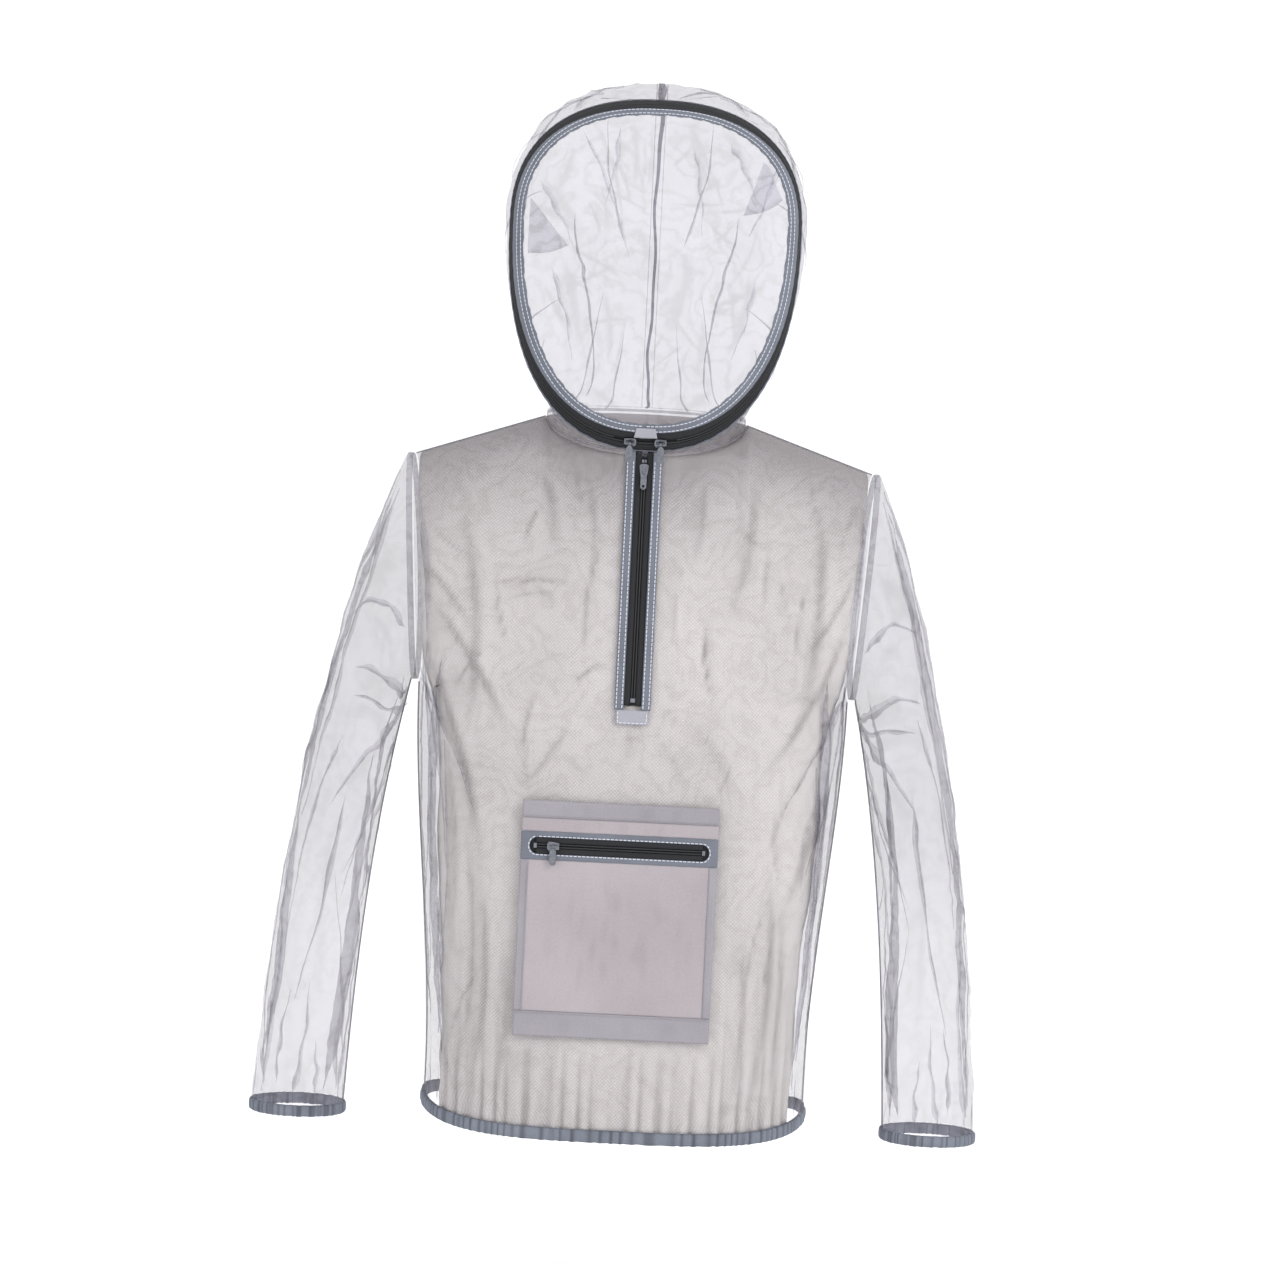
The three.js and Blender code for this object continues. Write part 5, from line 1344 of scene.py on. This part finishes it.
dress(
    frontStrip(
        "frontZipTab", -frontZip["tabHalf"], frontZip["tabHalf"], tabTop - frontZip["tabLong"], tabTop, frontZip["lift"],
        thickness["tab"], across=17, rows=12, pucker=0.1
    ),
    tabCloth, "body", ["front_zip_tab"]
)
acrossBy, downBy = frontZip["tabStitches"]
x = np.concatenate([np.full(20, -acrossBy), np.linspace(-acrossBy, acrossBy, 30), np.full(20, acrossBy)])
down = np.linspace(tabTop - 1, tabTop - downBy, 20)
z = np.concatenate([down, np.full(30, tabTop - downBy), np.linspace(tabTop - downBy, tabTop - 1, 20)])
dress(
    stitchRun("frontTabStitches", onFront(x, z, frontZip["stitchLift"]), bodyNormal(-1, x / jacket["shoulderHalf"], z)), thread,
    "body"
)
print("front zip made")


# Pocket.

pocket = {
    "x0": -104, "x1": 92, "top": -353, "foot": -589, "topBand": 17, "footBand": 25, "zipZ": -398, "frameHalf": 14,
    "plane": -122.4, "border": 5.4, "tapeFrom": 2.8, "tapeTo": 8.2, "coilOff": 1.3, "coilLeft": -88, "coilRight": 76,
    "hemWide": 8,
}


def pocketSheet(
    name, x0, x1, z0, z1, thick, columns, rows, lift=0.0, swell=0.5, material=None, stands=(), seed=0
):
    # A flat sheet in the pocket's plane with a slow ripple that dies at its edges.
    xGrid, zGrid = np.meshgrid(np.linspace(x0, x1, columns), np.linspace(z0, z1, rows))
    edge = np.sin(np.clip((xGrid - x0) / (x1 - x0), 0, 1) * math.pi) * np.sin(np.clip((zGrid - z0) / (z1 - z0), 0, 1) * math.pi)
    wave = ripple(xGrid, zGrid, 80 + seed, 30, 90) * swell * edge ** 0.5
    wave = wave + 0.12 * ripple(xGrid, zGrid, 90 + seed, 8, 20) * edge ** 0.3
    mark = np.clip(0.14 * ripple(xGrid * 1.6, zGrid * 0.5, 70 + seed, 16, 60), 0, 0.2) * edge
    piece = sheetMesh(name, vec(xGrid, pocket["plane"] - lift - wave, zGrid), marks=mark, outFrom=(0, -1, 0))
    return dress(thicken(piece, thick), material or pocketCloth, "body", stands)


def pocketFrame():
    # A flat frame with a round-ended window: rings from the window's edge out to the rectangle.
    inner = pocket["frameHalf"] - pocket["border"]
    left, right = pocket["x0"] + pocket["border"] + 3 + inner, pocket["x1"] - pocket["border"] - 3 - inner
    half = right - left
    d = np.linspace(0, 1, 241)[:-1] * (2 * half + 2 * math.pi * inner)
    arc = math.pi * inner
    x = np.where(
        d < half, left + d,
        np.where(
            d < half + arc, right + inner * np.sin((d - half) / inner),
            np.where(d < 2 * half + arc, right - (d - half - arc), left - inner * np.sin((d - 2 * half - arc) / inner))
        )
    )
    z = np.where(
        d < half, inner,
        np.where(
            d < half + arc, inner * np.cos((d - half) / inner),
            np.where(d < 2 * half + arc, -inner, -inner * np.cos((d - 2 * half - arc) / inner))
        )
    )
    zEdge = np.sign(z + 1e-9) * pocket["frameHalf"]
    outX = np.where(x > right, pocket["x1"], np.where(x < left, pocket["x0"], x))
    outZ = np.where((x > right) | (x < left), z / inner * pocket["frameHalf"], zEdge)
    q = np.array([0.0, 0.08, 0.35, 0.65, 0.94, 1.0])
    xGrid = lerp(x[None], outX[None], q[:, None])
    zGrid = lerp(z[None], outZ[None], q[:, None]) + pocket["zipZ"]
    relief = np.array([0.0, 0.3, 0.4, 0.4, 0.3, 0.0])[:, None] + 0.12 * np.sin(xGrid / 4.0)
    piece = sheetMesh("pocketZipFrame", vec(xGrid, pocket["plane"] - relief, zGrid), closed=True, outFrom=(0, -1, 0))
    dress(thicken(piece, thickness["frame"]), binding, "body", ["pocket_zip_frame"])
    path = vec(lerp(x, outX, 0.12), pocket["plane"] - 0.95, lerp(z, outZ, 0.12) + pocket["zipZ"])
    path = np.concatenate([path, path[:1]])
    dress(stitchRun("pocketFrameStitchesInner", path, straightOut(path)), thread, "body")


frameTop, frameFoot = pocket["zipZ"] + pocket["frameHalf"], pocket["zipZ"] - pocket["frameHalf"]
bandFoot, lowTop = pocket["top"] - pocket["topBand"], pocket["foot"] + pocket["footBand"]
pocketSheet(
    "pocketTopBand", pocket["x0"], pocket["x1"], bandFoot, pocket["top"], 1.5, 90, 9, swell=0.2, material=pocketHem,
    stands=["pocket_top_band"], seed=1
)
pocketSheet(
    "pocketUpperPanel", pocket["x0"], pocket["x1"], frameTop + 0.3, bandFoot - 0.2, 0.8, 90, 9, swell=0.2,
    stands=["pocket_upper_panel"], seed=2
)
pocketLower = pocketSheet(
    "pocketLowerPanel", pocket["x0"], pocket["x1"], lowTop + 0.2, frameFoot - 0.3, 0.8, 110, 90, swell=0.55,
    stands=["pocket_lower_panel"], seed=3
)
pocketSheet(
    "pocketBottomBand", pocket["x0"], pocket["x1"], pocket["foot"], lowTop, 1.5, 90, 12, swell=0.2, material=pocketHem,
    stands=["pocket_bottom_band"], seed=4
)
pocketFrame()
# turned side hems of the pocket, with their stitches
for side, x0 in (("Right", pocket["x0"]), ("Left", pocket["x1"] - pocket["hemWide"])):
    pocketSheet(
        "pocketSideHem" + side, x0, x0 + pocket["hemWide"], lowTop + 0.3, frameFoot - 0.4, 0.5, 9, 70, lift=0.75, swell=0.15,
        material=pocketHem, seed=5
    )
    z = np.linspace(lowTop, frameFoot - 1, 90)
    path = vec(np.full(z.shape, x0 + (7 if side == "Right" else 1)), pocket["plane"] - 1.25, z)
    dress(stitchRun("pocketHemStitches" + side, path, straightOut(path), wide=0.5), pocketHem, "body")
for label, z in (("Top", bandFoot + 1.5), ("Bottom", lowTop - 1.6)):
    x = np.linspace(pocket["x0"] + 1, pocket["x1"] - 1, 90)
    path = vec(x, np.full(x.shape, pocket["plane"] - 1.15), np.full(x.shape, z))
    dress(stitchRun("pocketBandStitches" + label, path, straightOut(path), wide=0.5), pocketHem, "body")

tapeInset = pocket["border"] + 3 + (pocket["frameHalf"] - pocket["border"]) * 0.75
for label, hand in (("Upper", 1), ("Lower", -1)):
    lowZ, highZ = sorted((pocket["zipZ"] + hand * pocket["tapeFrom"], pocket["zipZ"] + hand * pocket["tapeTo"]))
    xGrid, zGrid = np.meshgrid(np.linspace(pocket["x0"] + tapeInset, pocket["x1"] - tapeInset, 80), np.linspace(lowZ, highZ, 5))
    dress(
        thicken(
            sheetMesh("pocketZipTape" + label, vec(xGrid, pocket["plane"] + 0 * xGrid, zGrid), outFrom=(0, -1, 0)),
            thickness["tape"]
        ),
        zipTape, "body", ["pocket_zip_tape_" + label.lower()]
    )
    x = np.arange(pocket["coilLeft"], pocket["coilRight"], zipLook["step"])
    k = np.linspace(0, 2 * math.pi, 9)
    swell = coilSwell(x, zipLook["coilPitch"])
    core = pocket["zipZ"] + hand * pocket["coilOff"]
    p = vec(
        np.broadcast_to(x, (9, len(x))), pocket["plane"] + zipLook["coilThick"] * np.sin(k)[:, None] * swell,
        core + zipLook["coilWide"] * np.cos(k)[:, None] * swell
    )
    dress(
        sheetMesh(
            "pocketZipCoil" + label, p, merge=True,
            outFrom=lambda c: vec(c[:, 0], 0 * c[:, 0] + pocket["plane"], 0 * c[:, 0] + core)
        ),
        coilNylon, "body", ["pocket_zip_coil_" + label.lower()]
    )
# A dark zip backing seen through the round ends of the window.
xGrid, zGrid = np.meshgrid(
    np.linspace(pocket["x0"] + pocket["border"] + 2, pocket["x1"] - pocket["border"] - 2, 60),
    np.linspace(pocket["zipZ"] - 9.4, pocket["zipZ"] + 9.4, 7)
)
dress(
    thicken(
        sheetMesh("pocketZipBacking", vec(xGrid, pocket["plane"] + 1.75 + 0 * xGrid, zGrid), outFrom=(0, -1, 0)),
        thickness["backing"]
    ),
    zipTape, "body"
)
print("pocket made")

# Metal and elastic that keep their own shapes.

metalLook = {"weld": 1e-6, "edge": 0.00018, "sharperThan": 0.6}  # metres, and radians for the last
for name, node in nodes.items():
    if node.hide_render:
        continue
    node.data.materials.clear()
    node.data.materials.append(elastic if "elastic" in name else zinc)
    if "elastic" not in name:
        weld = node.modifiers.new("weld", "WELD")
        weld.merge_threshold = metalLook["weld"]
        soften = node.modifiers.new("castEdges", "BEVEL")
        soften.width = metalLook["edge"]
        soften.segments = 2
        soften.limit_method = "ANGLE"
        soften.angle_limit = metalLook["sharperThan"]
for name in [n for n in nodes if "elastic" in n]:
    mesh = nodes[name].data
    if "cloth" not in mesh.uv_layers:
        mesh.uv_layers.new(name="cloth")

# Floor, light and camera.

stageLook = {"floorZ": -0.86, "far": 40.0, "world": 1.235, "sky": "#fdfdff", "floor": "#fdfdfd"}
floorMesh = bpy.data.meshes.new("floor")
corners = [(a * stageLook["far"], b * stageLook["far"], stageLook["floorZ"]) for a, b in ((-1, -1), (1, -1), (1, 1), (-1, 1))]
floorMesh.from_pydata(corners, [], [(0, 1, 2, 3)])
floor = bpy.data.objects.new("floor", floorMesh)
scene.collection.objects.link(floor)
paper, paperTree, paperShader = finish("studioPaper", stageLook["floor"], 0.9, specular=0.1)
grain = addNode(paperTree, "TexCoord")
speck = addNode(paperTree, "TexNoise", {"Vector": grain.outputs["Object"]})
speck.inputs["Scale"].default_value = 120
paperTree.links.new(
    addNode(paperTree, "MapRange", {0: speck.outputs[0]}, in3=0.85, in4=0.95).outputs[0], paperShader.inputs["Roughness"]
)
floorMesh.materials.append(paper)
floor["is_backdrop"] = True

world = bpy.data.worlds.new("studio")
scene.world = world
world.use_nodes = True
world.node_tree.nodes["Background"].inputs[0].default_value = hexColour(stageLook["sky"])
world.node_tree.nodes["Background"].inputs[1].default_value = stageLook["world"]


def softLight(name, place, aim, size, power):
    lamp = bpy.data.lights.new(name, "AREA")
    lamp.shape, lamp.size, lamp.energy = "DISK", size, power
    holder = bpy.data.objects.new(name, lamp)
    scene.collection.objects.link(holder)
    holder.location = place
    holder.rotation_euler = (Vector(aim) - Vector(place)).to_track_quat("-Z", "Y").to_euler()


softLight("keyLight", (2.3, -2.4, 1.5), (0, 0, -0.2), 1.4, 48)
softLight("fillLight", (-2.4, -2.0, 0.8), (0, 0, -0.2), 2.0, 6)
softLight("backLight", (0.8, 2.6, 1.6), (0, 0, -0.1), 1.6, 10)

view = {"distance": 3.2, "width": 1.266, "elevation": 2.5, "roll": 2.8, "aim": (-0.003, -0.1, -0.183)}
camera = bpy.data.objects.new("camera", bpy.data.cameras.new("camera"))
scene.collection.objects.link(camera)
camera.data.sensor_width = 36
camera.data.lens = 36 * view["distance"] / view["width"]
rise = view["elevation"] * deg
back = Vector((0, -math.cos(rise), math.sin(rise)))
camera.location = Vector(view["aim"]) + back * view["distance"]
turned = (-back).to_track_quat("-Z", "Y").to_matrix().to_4x4() @ Matrix.Rotation(view["roll"] * deg, 4, "Z")
camera.rotation_euler = turned.to_euler()
scene.camera = camera

bpy.context.view_layer.update()
plain = lambda box: [[float(c) for c in corner] for corner in box]
{"cad": plain(cadBox), "visual": plain(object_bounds())}
print("stage set")
